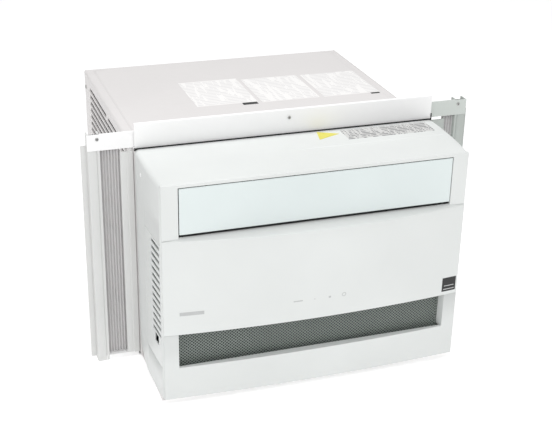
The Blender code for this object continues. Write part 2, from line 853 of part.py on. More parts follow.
def make_vane_link():
    top = OUTLET_TOP - RUNNING_GAP - LINK_DROP
    crank_depth = VANE_PIVOT_DEPTH + VANE_CRANK
    first, last = vane_places()[0], vane_places()[-1]
    end = LINK_WIDTH
    link = make_part(
        "vane_link",
        block(
            (first - end, crank_depth - LINK_WIDTH / 2, top - LINK_THICKNESS),
            (last + end, crank_depth + LINK_WIDTH / 2, top),
        ),
        "inner_black",
        point(first, crank_depth, top),
    )
    holes = bmesh.new()
    for x in vane_places():
        add_rod(
            holes, (x, crank_depth, top - 2 * LINK_THICKNESS), (x, crank_depth, top + end), 0.0017, 8
        )
    bmesh.ops.translate(holes, verts=holes.verts, vec=-link.location)
    cut(link, holes)
    link.modifiers[-1].object.location = link.location


def make_filter():
    """The filter frame and the vented door on its left end, which slide out together."""
    low = DOOR_BOTTOM + 0.006
    high = door_top() - 0.004
    left = -HALF_FACE + PLASTIC
    right = COIL_HALF_WIDTH
    back = FILTER_DEPTH + FILTER_THICKNESS
    frame = make_part(
        "air_filter", block((left, FILTER_DEPTH, low), (right, back, high)), "filter_frame"
    )
    cells = bmesh.new()
    width = (right - left - FILTER_BAR) / FILTER_COLUMNS
    height = (high - low - FILTER_BAR) / FILTER_ROWS
    for column in range(FILTER_COLUMNS):
        for row in range(FILTER_ROWS):
            x = left + FILTER_BAR + column * width
            z = low + FILTER_BAR + row * height
            add_block(
                cells,
                (x, FILTER_DEPTH - FILTER_BAR, z),
                (x + width - FILTER_BAR, back + FILTER_BAR, z + height - FILTER_BAR),
            )
    cut(frame, cells)
    inner = left - GAP
    outer = -cover_half_width(0.3) - 0.0005
    door = make_part(
        "filter_door",
        block(
            (outer, DOOR_FRONT, DOOR_BOTTOM), (inner, DOOR_FRONT + DOOR_WIDTH, door_top())
        ),
        "cover_white",
    )
    bevel(door, 0.001, 1)
    grip_z = door_top() - (VENT_COUNT + 1) * VENT_PITCH
    grip = block(
        (outer - PLASTIC, DOOR_FRONT + 0.010, grip_z - GRIP_HEIGHT / 2),
        (outer + PLASTIC, DOOR_FRONT + 0.010 + GRIP_LENGTH, grip_z + GRIP_HEIGHT / 2),
    )
    cut(door, vent_slots(outer - PLASTIC, inner + PLASTIC), grip)


def make_evaporator():
    coil = make_part(
        "evaporator_coil",
        block(
            (-COIL_HALF_WIDTH, COIL_FRONT, COIL_BOTTOM),
            (COIL_HALF_WIDTH, COIL_FRONT + COIL_THICKNESS, COIL_TOP),
        ),
        "fin_aluminium",
    )
    bevel(coil, 0.002, 1)
    tray = make_part(
        "drain_tray",
        block(
            (-COIL_HALF_WIDTH, COIL_FRONT - 0.006, PAN_RIM + GAP),
            (COIL_HALF_WIDTH, COIL_FRONT + COIL_THICKNESS + 0.003, COIL_BOTTOM + 0.004),
        ),
        "inner_black",
    )
    cut(
        tray,
        block(
            (-COIL_HALF_WIDTH - DUCT_WALL, COIL_FRONT - 0.002, PAN_RIM + 0.005),
            (
                COIL_HALF_WIDTH + DUCT_WALL,
                COIL_FRONT + COIL_THICKNESS + 0.001,
                COIL_BOTTOM + 2 * FILTER_BAR,
            ),
        ),
    )
    sensor_z = COIL_TOP - 0.05
    sensor_depth = COIL_FRONT - 0.004
    make_part(
        "temperature_sensor",
        rod((0.09, sensor_depth, sensor_z), (0.115, sensor_depth, sensor_z), 0.0025, 12),
        "copper",
    )


def make_inlet_ring():
    ring = make_part(
        "inlet_ring",
        block(
            (-COIL_HALF_WIDTH, RING_DEPTH, COIL_BOTTOM),
            (COIL_HALF_WIDTH, RING_DEPTH + RING_THICKNESS, COIL_TOP),
        ),
        "duct_white",
    )
    cut(
        ring,
        rod(
            (ROTOR_X, RING_DEPTH - FILTER_BAR, AXIS_Z),
            (ROTOR_X, RING_DEPTH + FILTER_BAR, AXIS_Z),
            BLOWER_RADIUS - BLOWER_BLADE,
            32,
        ),
    )


def make_scroll_housing():
    """The spiral wall round the blower, which opens upwards into the duct."""
    path = []
    steps = 24
    start = math.radians(20)
    sweep = math.radians(290)
    for i in range(steps + 1):
        angle = start - sweep * i / steps
        radius = BLOWER_RADIUS + SCROLL_START_GAP
        radius += (SCROLL_END_GAP - SCROLL_START_GAP) * i / steps
        x = ROTOR_X + radius * math.cos(angle)
        z = AXIS_Z + radius * math.sin(angle)
        path.append(point(x, RING_DEPTH + RING_THICKNESS + GAP, z))
    lip = path[0] + Vector((0.0, 0.0, 0.02))
    depth = BULKHEAD_DEPTH - GAP - (RING_DEPTH + RING_THICKNESS + GAP)
    housing = make_part(
        "scroll_housing", strip([lip] + path, (0.0, depth, 0.0)), "duct_white"
    )
    solidify(housing, DUCT_WALL, 0.0)
    smooth(housing)


def make_bulkhead():
    half = HALF_PAN - SHEET - GAP
    back = BULKHEAD_DEPTH + SHEET
    bulkhead = make_part(
        "bulkhead",
        block((-half, BULKHEAD_DEPTH, PAN_TOP + GAP), (half, back, CABINET_TOP - SHEET - GAP)),
        "galvanised",
    )
    holes = bmesh.new()
    for x, z, radius in (
        (ROTOR_X, AXIS_Z, 2 * SHAFT_RADIUS),
        (PIPE_X, suction_height(), SUCTION_RADIUS + RUNNING_GAP),
        (PIPE_X, capillary_height(), PIPE_RADIUS + RUNNING_GAP),
    ):
        add_rod(
            holes,
            (x, BULKHEAD_DEPTH - SHAFT_RADIUS, z),
            (x, back + SHAFT_RADIUS, z),
            radius,
        )
    cut(bulkhead, holes)


def axis_rod(front, back, radius, sides=24):
    return rod((ROTOR_X, front, AXIS_Z), (ROTOR_X, back, AXIS_Z), radius, sides)


def make_rotor_part(name, bm, finish):
    return make_part(name, bm, finish, point(ROTOR_X, MOTOR_FRONT, AXIS_Z))


def about_axis(obj, operation, bm):
    """Adds or cuts a shape on a part whose origin is on the rotor's axis."""
    origin = obj.location.copy()
    bmesh.ops.translate(bm, verts=bm.verts, vec=-origin)
    boolean(obj, operation, bm)
    obj.modifiers[-1].object.location = origin


def make_blower_wheel():
    wall = 0.002
    wheel = make_rotor_part(
        "blower_wheel", axis_rod(BLOWER_BACK - wall, BLOWER_BACK, BLOWER_RADIUS, 40), "inner_black"
    )
    hub = axis_rod(BLOWER_BACK - 0.024, BLOWER_BACK - wall / 2, 3 * SHAFT_RADIUS)
    about_axis(wheel, "UNION", hub)
    blades = bmesh.new()
    inner = BLOWER_RADIUS - BLOWER_BLADE
    outer = BLOWER_RADIUS - wall / 2
    for i in range(BLOWER_BLADES):
        blade = bmesh.new()
        bmesh.ops.create_cube(
            blade,
            size=1.0,
            matrix=Matrix.Diagonal((outer - inner, BLOWER_BACK - wall / 2 - BLOWER_FRONT, wall, 1.0)),
        )
        lean = Matrix.Rotation(math.radians(35), 4, "Y")
        push = Matrix.Translation(((inner + outer) / 2, 0.0, 0.0))
        turn = Matrix.Rotation(math.tau * i / BLOWER_BLADES, 4, "Y")
        middle = point(ROTOR_X, (BLOWER_FRONT + BLOWER_BACK - wall / 2) / 2, AXIS_Z)
        blade.transform(Matrix.Translation(middle) @ turn @ push @ lean)
        copy = bpy.data.meshes.new("blade")
        blade.to_mesh(copy)
        blade.free()
        blades.from_mesh(copy)
        bpy.data.meshes.remove(copy)
    about_axis(wheel, "UNION", blades)
    ring = make_ring(BLOWER_FRONT, BLOWER_FRONT + 2 * wall, inner + 0.004, BLOWER_RADIUS, 40)
    about_axis(wheel, "UNION", ring)
    bore = axis_rod(BLOWER_FRONT, BLOWER_BACK + wall, SHAFT_RADIUS + HOLE_GAP, 12)
    about_axis(wheel, "DIFFERENCE", bore)


def make_ring(front, back, inner, outer, sides):
    """A flat-sided ring about the rotor's axis, turned from a rectangle."""
    bm = bmesh.new()
    corners = [
        bm.verts.new(point(ROTOR_X + radius, depth, AXIS_Z))
        for radius, depth in ((inner, front), (outer, front), (outer, back), (inner, back))
    ]
    loop = [bm.edges.new((corners[i], corners[(i + 1) % 4])) for i in range(4)]
    bmesh.ops.spin(
        bm,
        geom=corners + loop,
        cent=point(ROTOR_X, 0.0, AXIS_Z),
        axis=(0.0, 1.0, 0.0),
        angle=math.tau,
        steps=sides,
        use_merge=True,
    )
    bmesh.ops.remove_doubles(bm, verts=bm.verts, dist=1e-6)
    bmesh.ops.recalc_face_normals(bm, faces=bm.faces)
    return bm


def make_condenser_fan():
    hub_radius = 0.030
    fan = make_rotor_part(
        "condenser_fan", axis_rod(FAN_FRONT + 0.004, FAN_BACK - 0.004, hub_radius), "inner_black"
    )
    middle = point(ROTOR_X, (FAN_FRONT + FAN_BACK) / 2, AXIS_Z)
    length = FAN_RADIUS - SLINGER_WIDTH / 2 - hub_radius * 0.8
    for i in range(FAN_BLADES):
        blade = bmesh.new()
        bmesh.ops.create_cube(blade, size=1.0, matrix=Matrix.Diagonal((length, 0.003, 0.055, 1.0)))
        pitch = Matrix.Rotation(math.radians(28), 4, "X")
        push = Matrix.Translation((hub_radius * 0.8 + length / 2, 0.0, 0.0))
        turn = Matrix.Rotation(math.tau * i / FAN_BLADES, 4, "Y")
        blade.transform(Matrix.Translation(middle) @ turn @ push @ pitch)
        about_axis(fan, "UNION", blade)
    ring_front = FAN_BACK - 0.014
    slinger = make_ring(
        ring_front, ring_front + 0.010, FAN_RADIUS - SLINGER_WIDTH, FAN_RADIUS, 40
    )
    about_axis(fan, "UNION", slinger)
    bore = axis_rod(FAN_FRONT, FAN_BACK, SHAFT_RADIUS + HOLE_GAP, 12)
    about_axis(fan, "DIFFERENCE", bore)


def make_motor():
    motor = make_part(
        "fan_motor", axis_rod(MOTOR_FRONT, MOTOR_FRONT + MOTOR_LENGTH, MOTOR_RADIUS), "galvanised"
    )
    bevel(motor, 0.004)
    back = MOTOR_FRONT + MOTOR_LENGTH
    bore = axis_rod(MOTOR_FRONT - 0.01, back + 0.01, SHAFT_RADIUS + HOLE_GAP, 12)
    cut(motor, bore)
    smooth(motor)
    make_rotor_part(
        "motor_shaft", axis_rod(BLOWER_BACK - 0.030, FAN_BACK, SHAFT_RADIUS, 12), "screw_steel"
    )
    half = MOTOR_RADIUS + 0.010
    middle = MOTOR_FRONT + MOTOR_LENGTH / 2
    bracket = make_part(
        "motor_bracket",
        block(
            (ROTOR_X - half, middle - 0.025, PAN_TOP + GAP), (ROTOR_X + half, middle + 0.025, AXIS_Z)
        ),
        "galvanised",
    )
    saddle = rod(
        (ROTOR_X, middle - 0.05, AXIS_Z), (ROTOR_X, middle + 0.05, AXIS_Z), MOTOR_RADIUS + GAP, 24
    )
    hollow = block(
        (ROTOR_X - half + 0.003, middle - 0.022, 0.0),
        (ROTOR_X + half - 0.003, middle + 0.022, AXIS_Z - MOTOR_RADIUS - 0.006),
    )
    cut(bracket, saddle, hollow)


def make_fan_shroud():
    shroud = make_part(
        "fan_shroud",
        block(
            (-HALF_PAN + SHEET + GAP, SHROUD_DEPTH, PAN_TOP + GAP),
            (SHROUD_RIGHT, SHROUD_DEPTH + PLASTIC, CABINET_TOP - SHEET - GAP),
        ),
        "inner_black",
    )
    opening = axis_rod(SHROUD_DEPTH - 0.01, SHROUD_DEPTH + 0.01, FAN_RADIUS + 0.004, 40)
    cut(shroud, opening)


def make_condenser():
    coil = make_part(
        "condenser_coil",
        block(
            (-HALF_PAN + 0.010, CONDENSER_FRONT, PAN_TOP + 0.006),
            (CONDENSER_RIGHT, CONDENSER_FRONT + CONDENSER_THICKNESS, CABINET_TOP - 0.012),
        ),
        "fin_aluminium",
    )
    bevel(coil, 0.002, 1)


def make_compressor():
    centre = (COMPRESSOR_X, COMPRESSOR_DEPTH)
    shell = make_part(
        "compressor",
        rod((*centre, COMPRESSOR_BOTTOM), (*centre, COMPRESSOR_TOP), COMPRESSOR_RADIUS, 24),
        "compressor_black",
    )
    bevel(shell, 0.014, 3)
    foot = COMPRESSOR_RADIUS + 0.004
    plate = block(
        (COMPRESSOR_X - foot, COMPRESSOR_DEPTH - foot, COMPRESSOR_BOTTOM - 0.002),
        (COMPRESSOR_X + foot, COMPRESSOR_DEPTH + foot, COMPRESSOR_BOTTOM + 0.001),
    )
    join(shell, plate)
    smooth(shell)
    for number, (side_x, side_y) in enumerate(((-1, -1), (1, -1), (0, 1)), 1):
        x = COMPRESSOR_X + side_x * (foot - 0.012)
        depth = COMPRESSOR_DEPTH + side_y * (foot - 0.012)
        make_part(
            f"compressor_grommet_{number}",
            rod(
                (x, depth, PAN_TOP + HOLE_GAP), (x, depth, COMPRESSOR_BOTTOM - 0.002 - HOLE_GAP), 0.010
            ),
            "rubber_black",
        )
    x = accumulator_x()
    tank = make_part(
        "accumulator",
        rod(
            (x, COMPRESSOR_DEPTH, COMPRESSOR_BOTTOM + 0.02),
            (x, COMPRESSOR_DEPTH, COMPRESSOR_BOTTOM + 0.02 + ACCUMULATOR_HEIGHT),
            ACCUMULATOR_RADIUS,
            20,
        ),
        "compressor_black",
    )
    bevel(tank, 0.006)
    smooth(tank)


def accumulator_x():
    return COMPRESSOR_X - COMPRESSOR_RADIUS - ACCUMULATOR_RADIUS - 0.006


def suction_height():
    return COIL_TOP - 0.012


def capillary_height():
    return COIL_BOTTOM + 0.030


def make_pipes():
    coil_depth = COIL_FRONT + COIL_THICKNESS / 2
    condenser_depth = CONDENSER_FRONT + CONDENSER_THICKNESS / 2
    tank_top = COMPRESSOR_BOTTOM + 0.02 + ACCUMULATOR_HEIGHT
    over = COMPRESSOR_TOP + 0.044
    lane_depth = COMPRESSOR_DEPTH - 0.028
    make_pipe(
        "discharge_pipe",
        rounded_path(
            [
                point(COMPRESSOR_X, COMPRESSOR_DEPTH, COMPRESSOR_TOP + HOLE_GAP),
                point(COMPRESSOR_X, COMPRESSOR_DEPTH, over),
                point(PIPE_X, COMPRESSOR_DEPTH, over),
                point(PIPE_X, condenser_depth, over),
                point(CONDENSER_RIGHT + HOLE_GAP, condenser_depth, over),
            ],
            PIPE_BEND,
        ),
        PIPE_RADIUS,
        "copper",
    )
    make_pipe(
        "suction_pipe",
        rounded_path(
            [
                point(accumulator_x(), COMPRESSOR_DEPTH, tank_top + HOLE_GAP),
                point(accumulator_x(), COMPRESSOR_DEPTH, suction_height()),
                point(accumulator_x(), lane_depth, suction_height()),
                point(PIPE_X, lane_depth, suction_height()),
                point(PIPE_X, coil_depth, suction_height()),
                point(COIL_HALF_WIDTH + HOLE_GAP, coil_depth, suction_height()),
            ],
            PIPE_BEND,
        ),
        SUCTION_RADIUS,
        "copper",
    )
    liquid_z = PAN_TOP + 0.040
    liquid_end = SHROUD_DEPTH - 0.020
    make_pipe(
        "liquid_pipe",
        rounded_path(
            [
                point(CONDENSER_RIGHT + HOLE_GAP, condenser_depth, liquid_z),
                point(PIPE_X, condenser_depth, liquid_z),
                point(PIPE_X, liquid_end, liquid_z),
            ],
            PIPE_BEND,
        ),
        PIPE_RADIUS,
        "copper",
    )
    make_capillary(liquid_end, liquid_z, coil_depth)


def make_capillary(start_depth, start_z, coil_depth):
    """A thin tube that winds a few turns above the liquid pipe's end and then runs to the evaporator."""
    turns = 3
    steps = 12
    coil_radius = 0.009
    pitch = 0.005
    start = point(PIPE_X, start_depth - HOLE_GAP, start_z)
    centre = start + Vector((0.0, -0.012 - coil_radius, coil_radius))
    path = [start, start + Vector((0.0, -0.006, 0.0))]
    for i in range(turns * steps + 1):
        angle = -math.pi / 2 - math.tau * i / steps
        path.append(
            centre
            + Vector(
                (
                    pitch * i / steps,
                    coil_radius * math.cos(angle),
                    coil_radius * math.sin(angle),
                )
            )
        )
    lane = path[-1]
    height = capillary_height()
    ends = [
        lane,
        lane + Vector((0.0, -0.020, 0.0)),
        Vector((PIPE_X, point(0.0, BULKHEAD_DEPTH + 0.030, 0.0).y, height)),
        point(PIPE_X, coil_depth, height),
        point(COIL_HALF_WIDTH + HOLE_GAP, coil_depth, height),
    ]
    make_pipe("capillary_tube", path[:-1] + rounded_path(ends, 0.008), CAPILLARY_RADIUS, "copper")


def make_electrics():
    """The control box behind the bulkhead, with its board and capacitor, and the front display board."""
    width, depth, height = CONTROL_BOX
    left = -HALF_INSIDE + 0.006
    front = BULKHEAD_DEPTH + SHEET + GAP
    top = CABINET_TOP - SHEET - 0.006
    box = make_part(
        "control_box",
        block((left, front, top - height), (left + width, front + depth, top)),
        "galvanised",
    )
    cut(
        box,
        block(
            (left + SHEET, front + SHEET, top - height + SHEET),
            (left + width - SHEET, front + 2 * depth, top - SHEET),
        ),
    )
    board_front = front + 0.008
    make_part(
        "control_board",
        block(
            (left + 0.006, board_front, top - height + 0.006),
            (left + width - 0.042, board_front + BOARD_THICKNESS, top - 0.006),
        ),
        "board_green",
    )
    capacitor_x = left + width - 0.021
    make_part(
        "capacitor",
        rod(
            (capacitor_x, front + depth / 2, top - height + 0.006),
            (capacitor_x, front + depth / 2, top - 0.012),
            CAPACITOR_RADIUS,
        ),
        "galvanised",
    )
    board_width, board_height = DISPLAY_BOARD
    make_part(
        "display_board",
        block(
            (-board_width / 2, BEZEL_DEPTH + GAP, DISPLAY_HEIGHT - board_height / 2),
            (
                board_width / 2,
                BEZEL_DEPTH + GAP + BOARD_THICKNESS,
                DISPLAY_HEIGHT + board_height / 2,
            ),
        ),
        "board_green",
    )


def make_screw(name, x, face_depth, z):
    """A screw driven backwards, with its head just off the face that it holds."""
    head_back = face_depth - HOLE_GAP
    screw = make_part(
        name,
        rod((x, head_back - SCREW_HEAD_HEIGHT, z), (x, head_back, z), SCREW_HEAD_RADIUS),
        "screw_steel",
    )
    shank = rod(
        (x, head_back - SCREW_HEAD_HEIGHT / 2, z), (x, head_back + SCREW_LENGTH, z), SCREW_SHANK_RADIUS, 8
    )
    join(screw, shank)


def screw_hole(x, face_depth, z):
    return rod(
        (x, face_depth - SCREW_LENGTH, z),
        (x, face_depth + 2 * SCREW_LENGTH, z),
        SCREW_SHANK_RADIUS + HOLE_GAP,
        8,
    )


def make_rails():
    front = RAIL_FRONT + SHEET / 2
    back = front + RAIL_SPAN
    top = RAIL_FLOOR + RAIL_HEIGHT
    path = [
        point(-HALF_CABINET, front, top),
        point(-HALF_CABINET, front, RAIL_FLOOR),
        point(-HALF_CABINET, back, RAIL_FLOOR),
        point(-HALF_CABINET, back, RAIL_FLOOR + RAIL_LIP),
    ]
    rail = make_part("top_rail", strip(path, (CABINET_WIDTH, 0.0, 0.0)), "rail_white")
    solidify(rail, SHEET, 0.0)
    screw_z = top - 0.0135
    cut(rail, screw_hole(0.0, RAIL_FRONT, screw_z))
    make_screw("rail_screw", 0.0, RAIL_FRONT, screw_z)
    middle = CURTAIN_FRONT + CURTAIN_DEPTH / 2
    half = CURTAIN_DEPTH / 2 - BOTTOM_RAIL_SHEET / 2
    path = [
        point(-HALF_PAN, middle - half, PAN_FLOOR - HOLE_GAP),
        point(-HALF_PAN, middle - half, BOTTOM_RAIL_SHEET / 2),
        point(-HALF_PAN, middle + half, BOTTOM_RAIL_SHEET / 2),
        point(-HALF_PAN, middle + half, PAN_FLOOR - HOLE_GAP),
    ]
    rail = make_part("bottom_rail", strip(path, (2 * HALF_PAN, 0.0, 0.0)), "rail_white")
    solidify(rail, BOTTOM_RAIL_SHEET, 0.0)


def side_block(side, inner, outer, front, back, low, high):
    """A block on the left (-1) or right (1) side, between two distances from the middle."""
    return block(
        (min(side * inner, side * outer), front, low), (max(side * inner, side * outer), back, high)
    )


def make_curtain(side, word):
    """One side curtain: its sliding frame and screw, its pleats, and the strip on the cabinet side."""
    front = CURTAIN_FRONT
    back = CURTAIN_FRONT + CURTAIN_DEPTH
    frame = make_part(
        f"{word}_curtain_frame",
        side_block(side, MEMBER_INNER, CURTAIN_OUTER, front, back, CURTAIN_FOOT, CURTAIN_TOP),
        "rail_white",
    )
    top_bar = side_block(
        side, CURTAIN_BAR_MEET, CURTAIN_OUTER - SHEET, front, front + 2 * CURTAIN_WALL, BAR_BOTTOM, CURTAIN_TOP
    )
    foot = side_block(
        side, RETAINER_INNER + GAP, CURTAIN_OUTER - SHEET, front, back, CURTAIN_FOOT, FOOT_TOP
    )
    tongue = side_block(
        side,
        CURTAIN_BAR_MEET,
        CURTAIN_OUTER - 2 * SHEET,
        front + 0.0022,
        back - 0.0022,
        BOTTOM_RAIL_SHEET + HOLE_GAP,
        PAN_FLOOR - 1.5 * HOLE_GAP,
    )
    fin = side_block(
        side,
        CURTAIN_OUTER - CURTAIN_WALL,
        CURTAIN_OUTER + CURTAIN_FIN,
        back - CURTAIN_FIN_THICKNESS,
        back - CURTAIN_FIN_THICKNESS / 2,
        FOOT_TOP / 2,
        CURTAIN_TOP - 0.020,
    )
    pocket = side_block(
        side,
        MEMBER_INNER + CURTAIN_WALL,
        CURTAIN_OUTER - CURTAIN_WALL,
        front + CURTAIN_WALL,
        back + CURTAIN_WALL,
        FOOT_TOP + CURTAIN_WALL,
        BAR_BOTTOM - CURTAIN_WALL,
    )
    screw_x = side * (MEMBER_INNER + CURTAIN_OUTER) / 2 - side * 0.005
    screw_z = CURTAIN_TOP - 0.007
    join(frame, top_bar, foot, tongue, fin)
    cut(frame, pocket, screw_hole(screw_x, CURTAIN_FRONT, screw_z))
    make_screw(f"{word}_curtain_screw", screw_x, CURTAIN_FRONT, screw_z)
    make_pleats(side, word)
    retainer = make_part(
        f"{word}_retainer",
        side_block(
            side,
            RETAINER_INNER,
            RETAINER_OUTER[word],
            front - 0.0025,
            back,
            FOOT_TOP + GAP,
            BAR_BOTTOM - 0.006,
        ),
        "rail_white",
    )
    channel = side_block(
        side,
        RETAINER_INNER + CURTAIN_WALL,
        RETAINER_OUTER[word] + CURTAIN_WALL,
        front + CURTAIN_WALL,
        back - CURTAIN_WALL,
        0.0,
        CURTAIN_TOP,
    )
    cut(retainer, channel)


def make_pleats(side, word):
    """A sheet in upright folds between the strip on the cabinet and the sliding frame."""
    inner = RETAINER_OUTER[word] + GAP
    outer = MEMBER_INNER - GAP
    middle = CURTAIN_FRONT + CURTAIN_DEPTH / 2 + 0.001
    low = FOOT_TOP + GAP
    path = []
    for i in range(2 * PLEATS + 1):
        x = side * (inner + (outer - inner) * i / (2 * PLEATS))
        depth = middle + (PLEAT_DEPTH / 2 if i % 2 else -PLEAT_DEPTH / 2)
        path.append(point(x, depth, low))
    height = BAR_BOTTOM - GAP - low
    pleats = make_part(f"{word}_accordion", strip(path, (0.0, 0.0, height)), "pleat_grey")
    solidify(pleats, PLEAT_SHEET, 0.0)
    pleats.modifiers[-1].use_even_offset = False


make_base_pan()
make_cabinet()
make_rear_grille()
make_front_cover()
make_bezel()
make_front_panel()
make_lower_fascia()
make_intake_grille()
make_outlet_flap()
make_flap_bearings()
make_outlet_duct()
make_vanes()
make_vane_link()
make_filter()
make_evaporator()
make_inlet_ring()
make_scroll_housing()
make_bulkhead()
make_blower_wheel()
make_condenser_fan()
make_motor()
make_fan_shroud()
make_condenser()
make_compressor()
make_pipes()
make_electrics()
make_rails()
make_curtain(-1, "left")
make_curtain(1, "right")
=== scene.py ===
"""The looks of the window air conditioner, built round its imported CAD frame.

Metres, +Z up, +Y outdoors.

A distance called a depth is measured backwards from the flat face of the bezel. On the side walls a
piece is laid out in depth and height, and its third size stands out of the wall.
"""

import json
import math

import bmesh
import bpy
from mathutils import Matrix, Vector


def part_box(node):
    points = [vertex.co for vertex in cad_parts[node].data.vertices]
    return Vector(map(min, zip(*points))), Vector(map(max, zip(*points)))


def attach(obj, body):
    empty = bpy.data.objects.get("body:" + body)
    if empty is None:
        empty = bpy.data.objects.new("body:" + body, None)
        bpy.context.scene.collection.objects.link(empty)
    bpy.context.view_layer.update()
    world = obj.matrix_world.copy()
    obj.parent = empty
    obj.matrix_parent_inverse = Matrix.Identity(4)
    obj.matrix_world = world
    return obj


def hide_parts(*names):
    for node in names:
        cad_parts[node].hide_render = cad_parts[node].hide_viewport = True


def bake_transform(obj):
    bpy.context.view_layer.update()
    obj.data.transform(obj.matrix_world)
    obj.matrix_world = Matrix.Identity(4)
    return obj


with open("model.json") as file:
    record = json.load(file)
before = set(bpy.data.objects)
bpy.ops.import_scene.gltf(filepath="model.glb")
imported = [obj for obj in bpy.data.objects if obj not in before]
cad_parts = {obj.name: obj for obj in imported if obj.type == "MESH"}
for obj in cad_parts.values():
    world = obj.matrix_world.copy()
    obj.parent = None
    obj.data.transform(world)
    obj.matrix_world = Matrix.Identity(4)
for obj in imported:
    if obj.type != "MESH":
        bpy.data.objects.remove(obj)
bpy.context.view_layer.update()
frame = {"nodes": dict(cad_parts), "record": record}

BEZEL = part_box("front_bezel")
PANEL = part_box("front_panel")
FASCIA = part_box("lower_fascia")
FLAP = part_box("outlet_flap")
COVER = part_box("front_cover")
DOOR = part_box("filter_door")
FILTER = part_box("air_filter")
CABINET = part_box("cabinet")
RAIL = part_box("top_rail")
FRAME_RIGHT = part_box("right_curtain_frame")
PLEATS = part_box("right_accordion")
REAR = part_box("rear_grille")

FACE = BEZEL[0].y
HALF_FACE = BEZEL[1].x
FACE_TOP = BEZEL[1].z
FACE_BOTTOM = FASCIA[0].z
PANEL_TOP = PANEL[1].z
PANEL_BOTTOM = PANEL[0].z
PANEL_BOW = FACE - PANEL[0].y
FOOT_BOW = 0.0125
LEDGE_DROP = 0.003
LEDGE_SLOPE = 0.0025
FASCIA_BOW = FACE - FASCIA[0].y
FASCIA_BACK = 0.0035
BEZEL_RECESS = 0.004
COVER_FRONT = COVER[0].y - FACE
COVER_BACK = COVER[1].y - FACE
COVER_WALL = 0.0025
COVER_CORNER = 0.007
SHELL_FRONT = 0.0012
HALF_OUTLET = 0.2115
OUTLET_TOP = 0.3535
OUTLET_BOTTOM = 0.2712
SHUT_GAP = 0.0010
MESH_LOW = 0.0585
MESH_RECESS = 0.0130
MESH_BOW = 0.005
RETURN_SHEET = 0.0016
MESH_HALF = 0.2120
OPENING_LOW = 0.0652
OPENING_HALF = 0.2145
DOOR_FRONT = DOOR[0].y - FACE
DOOR_BACK = DOOR[1].y - FACE
CABINET_FRONT = CABINET[0].y - FACE
CABINET_BACK = CABINET[1].y - FACE
HALF_CABINET = CABINET[1].x
CABINET_TOP = CABINET[1].z
SMALL_SCREW = 0.0026
LARGE_SCREW = 0.0036


# Geometry helpers


def at(x, depth, z):
    return Vector((x, FACE + depth, z))


def lerp(a, b, t):
    return a + (b - a) * t


def spread(low, high, count):
    """Evenly spaced values, both ends included."""
    return [lerp(low, high, i / count) for i in range(count + 1)]


def flat_grid(us, vs, place):
    """An open sheet of cells between two sets of lines. Place turns (u, v) into a position."""
    bm = bmesh.new()
    across, along = len(us) - 1, len(vs) - 1
    bmesh.ops.create_grid(bm, x_segments=across, y_segments=along, size=1.0)
    for vert in bm.verts:
        u = us[round((vert.co.x + 1) / 2 * across)]
        v = vs[round((vert.co.y + 1) / 2 * along)]
        vert.co = place(u, v)
    return bm


def grid_plate(us, vs, low, high, place, holes=()):
    """A closed plate over a grid of lines, without the cells whose middle is in one of the holes.

    Each hole is (u low, u high, v low, v high). Place turns (u, v, w) into a position."""
    lines_u = sorted(set(us) | {edge for hole in holes for edge in hole[:2]})
    lines_v = sorted(set(vs) | {edge for hole in holes for edge in hole[2:]})
    bm = flat_grid(lines_u, lines_v, lambda u, v: (u, v, low))

    def in_hole(face):
        u, v, _ = face.calc_center_median()
        return any(a < u < b and c < v < d for a, b, c, d in holes)

    bmesh.ops.delete(bm, geom=[face for face in bm.faces if in_hole(face)], context="FACES")
    raised = bmesh.ops.extrude_face_region(bm, geom=bm.faces[:])
    for item in raised["geom"]:
        if isinstance(item, bmesh.types.BMVert):
            item.co.z = high
    for vert in bm.verts:
        vert.co = place(*vert.co)
    bmesh.ops.recalc_face_normals(bm, faces=bm.faces)
    return bm


def sweep(profile, stations):
    """A closed body: a ring of (a, b) points carried through the functions in stations."""
    closed = [*profile, profile[0]]
    bm = flat_grid(
        range(len(closed)), range(len(stations)), lambda i, j: stations[j](*closed[i])
    )
    bmesh.ops.remove_doubles(bm, verts=bm.verts, dist=1e-6)
    bmesh.ops.holes_fill(bm, edges=bm.edges)
    bmesh.ops.recalc_face_normals(bm, faces=bm.faces)
    return bm


def along_x(profile, low, high):
    """A body with a (depth, z) profile from one x to another."""
    return sweep(profile, [lambda a, b, x=x: at(x, a, b) for x in (low, high)])


def along_y(profile, low, high):
    """A body with an (x, z) profile from one depth to another."""
    return sweep(profile, [lambda a, b, d=d: at(a, d, b) for d in (low, high)])


def along_z(profile, low, high):
    """A body with an (x, depth) profile from one height to another."""
    return sweep(profile, [lambda a, b, z=z: at(a, b, z) for z in (low, high)])


def ribbon(path, thickness):
    """The ring of points round an open line of points that has a thickness."""
    left, right = [], []
    for i, (a, b) in enumerate(path):
        before = Vector(path[max(i - 1, 0)])
        after = Vector(path[min(i + 1, len(path) - 1)])
        here = Vector((a, b))
        into = (here - before).normalized() if i else (after - here).normalized()
        out = (after - here).normalized() if i < len(path) - 1 else into
        middle = (into + out).normalized()
        side = Vector((-middle.y, middle.x))
        reach = thickness / 2 / max(0.4, side.dot(Vector((-into.y, into.x))))
        left.append(here + side * reach)
        right.append(here - side * reach)
    return [tuple(p) for p in left + right[::-1]]


def box_between(bm, low, high):
    a, b = at(*low), at(*high)
    place = Matrix.Translation((a + b) / 2) @ Matrix.Diagonal((*(b - a), 1.0))
    bmesh.ops.create_cube(bm, size=1.0, matrix=place)


def disc(bm, centre, axis, radius, height, sides=24, top=None):
    """A short round body that stands on its centre, along the axis."""
    turn = Vector(axis).to_track_quat("Z", "Y").to_matrix().to_4x4()
    place = Matrix.Translation(Vector(centre) + Vector(axis) * height / 2) @ turn
    bmesh.ops.create_cone(
        bm,
        cap_ends=True,
        segments=sides,
        radius1=radius,
        radius2=radius if top is None else top,
        depth=height,
        matrix=place,
    )


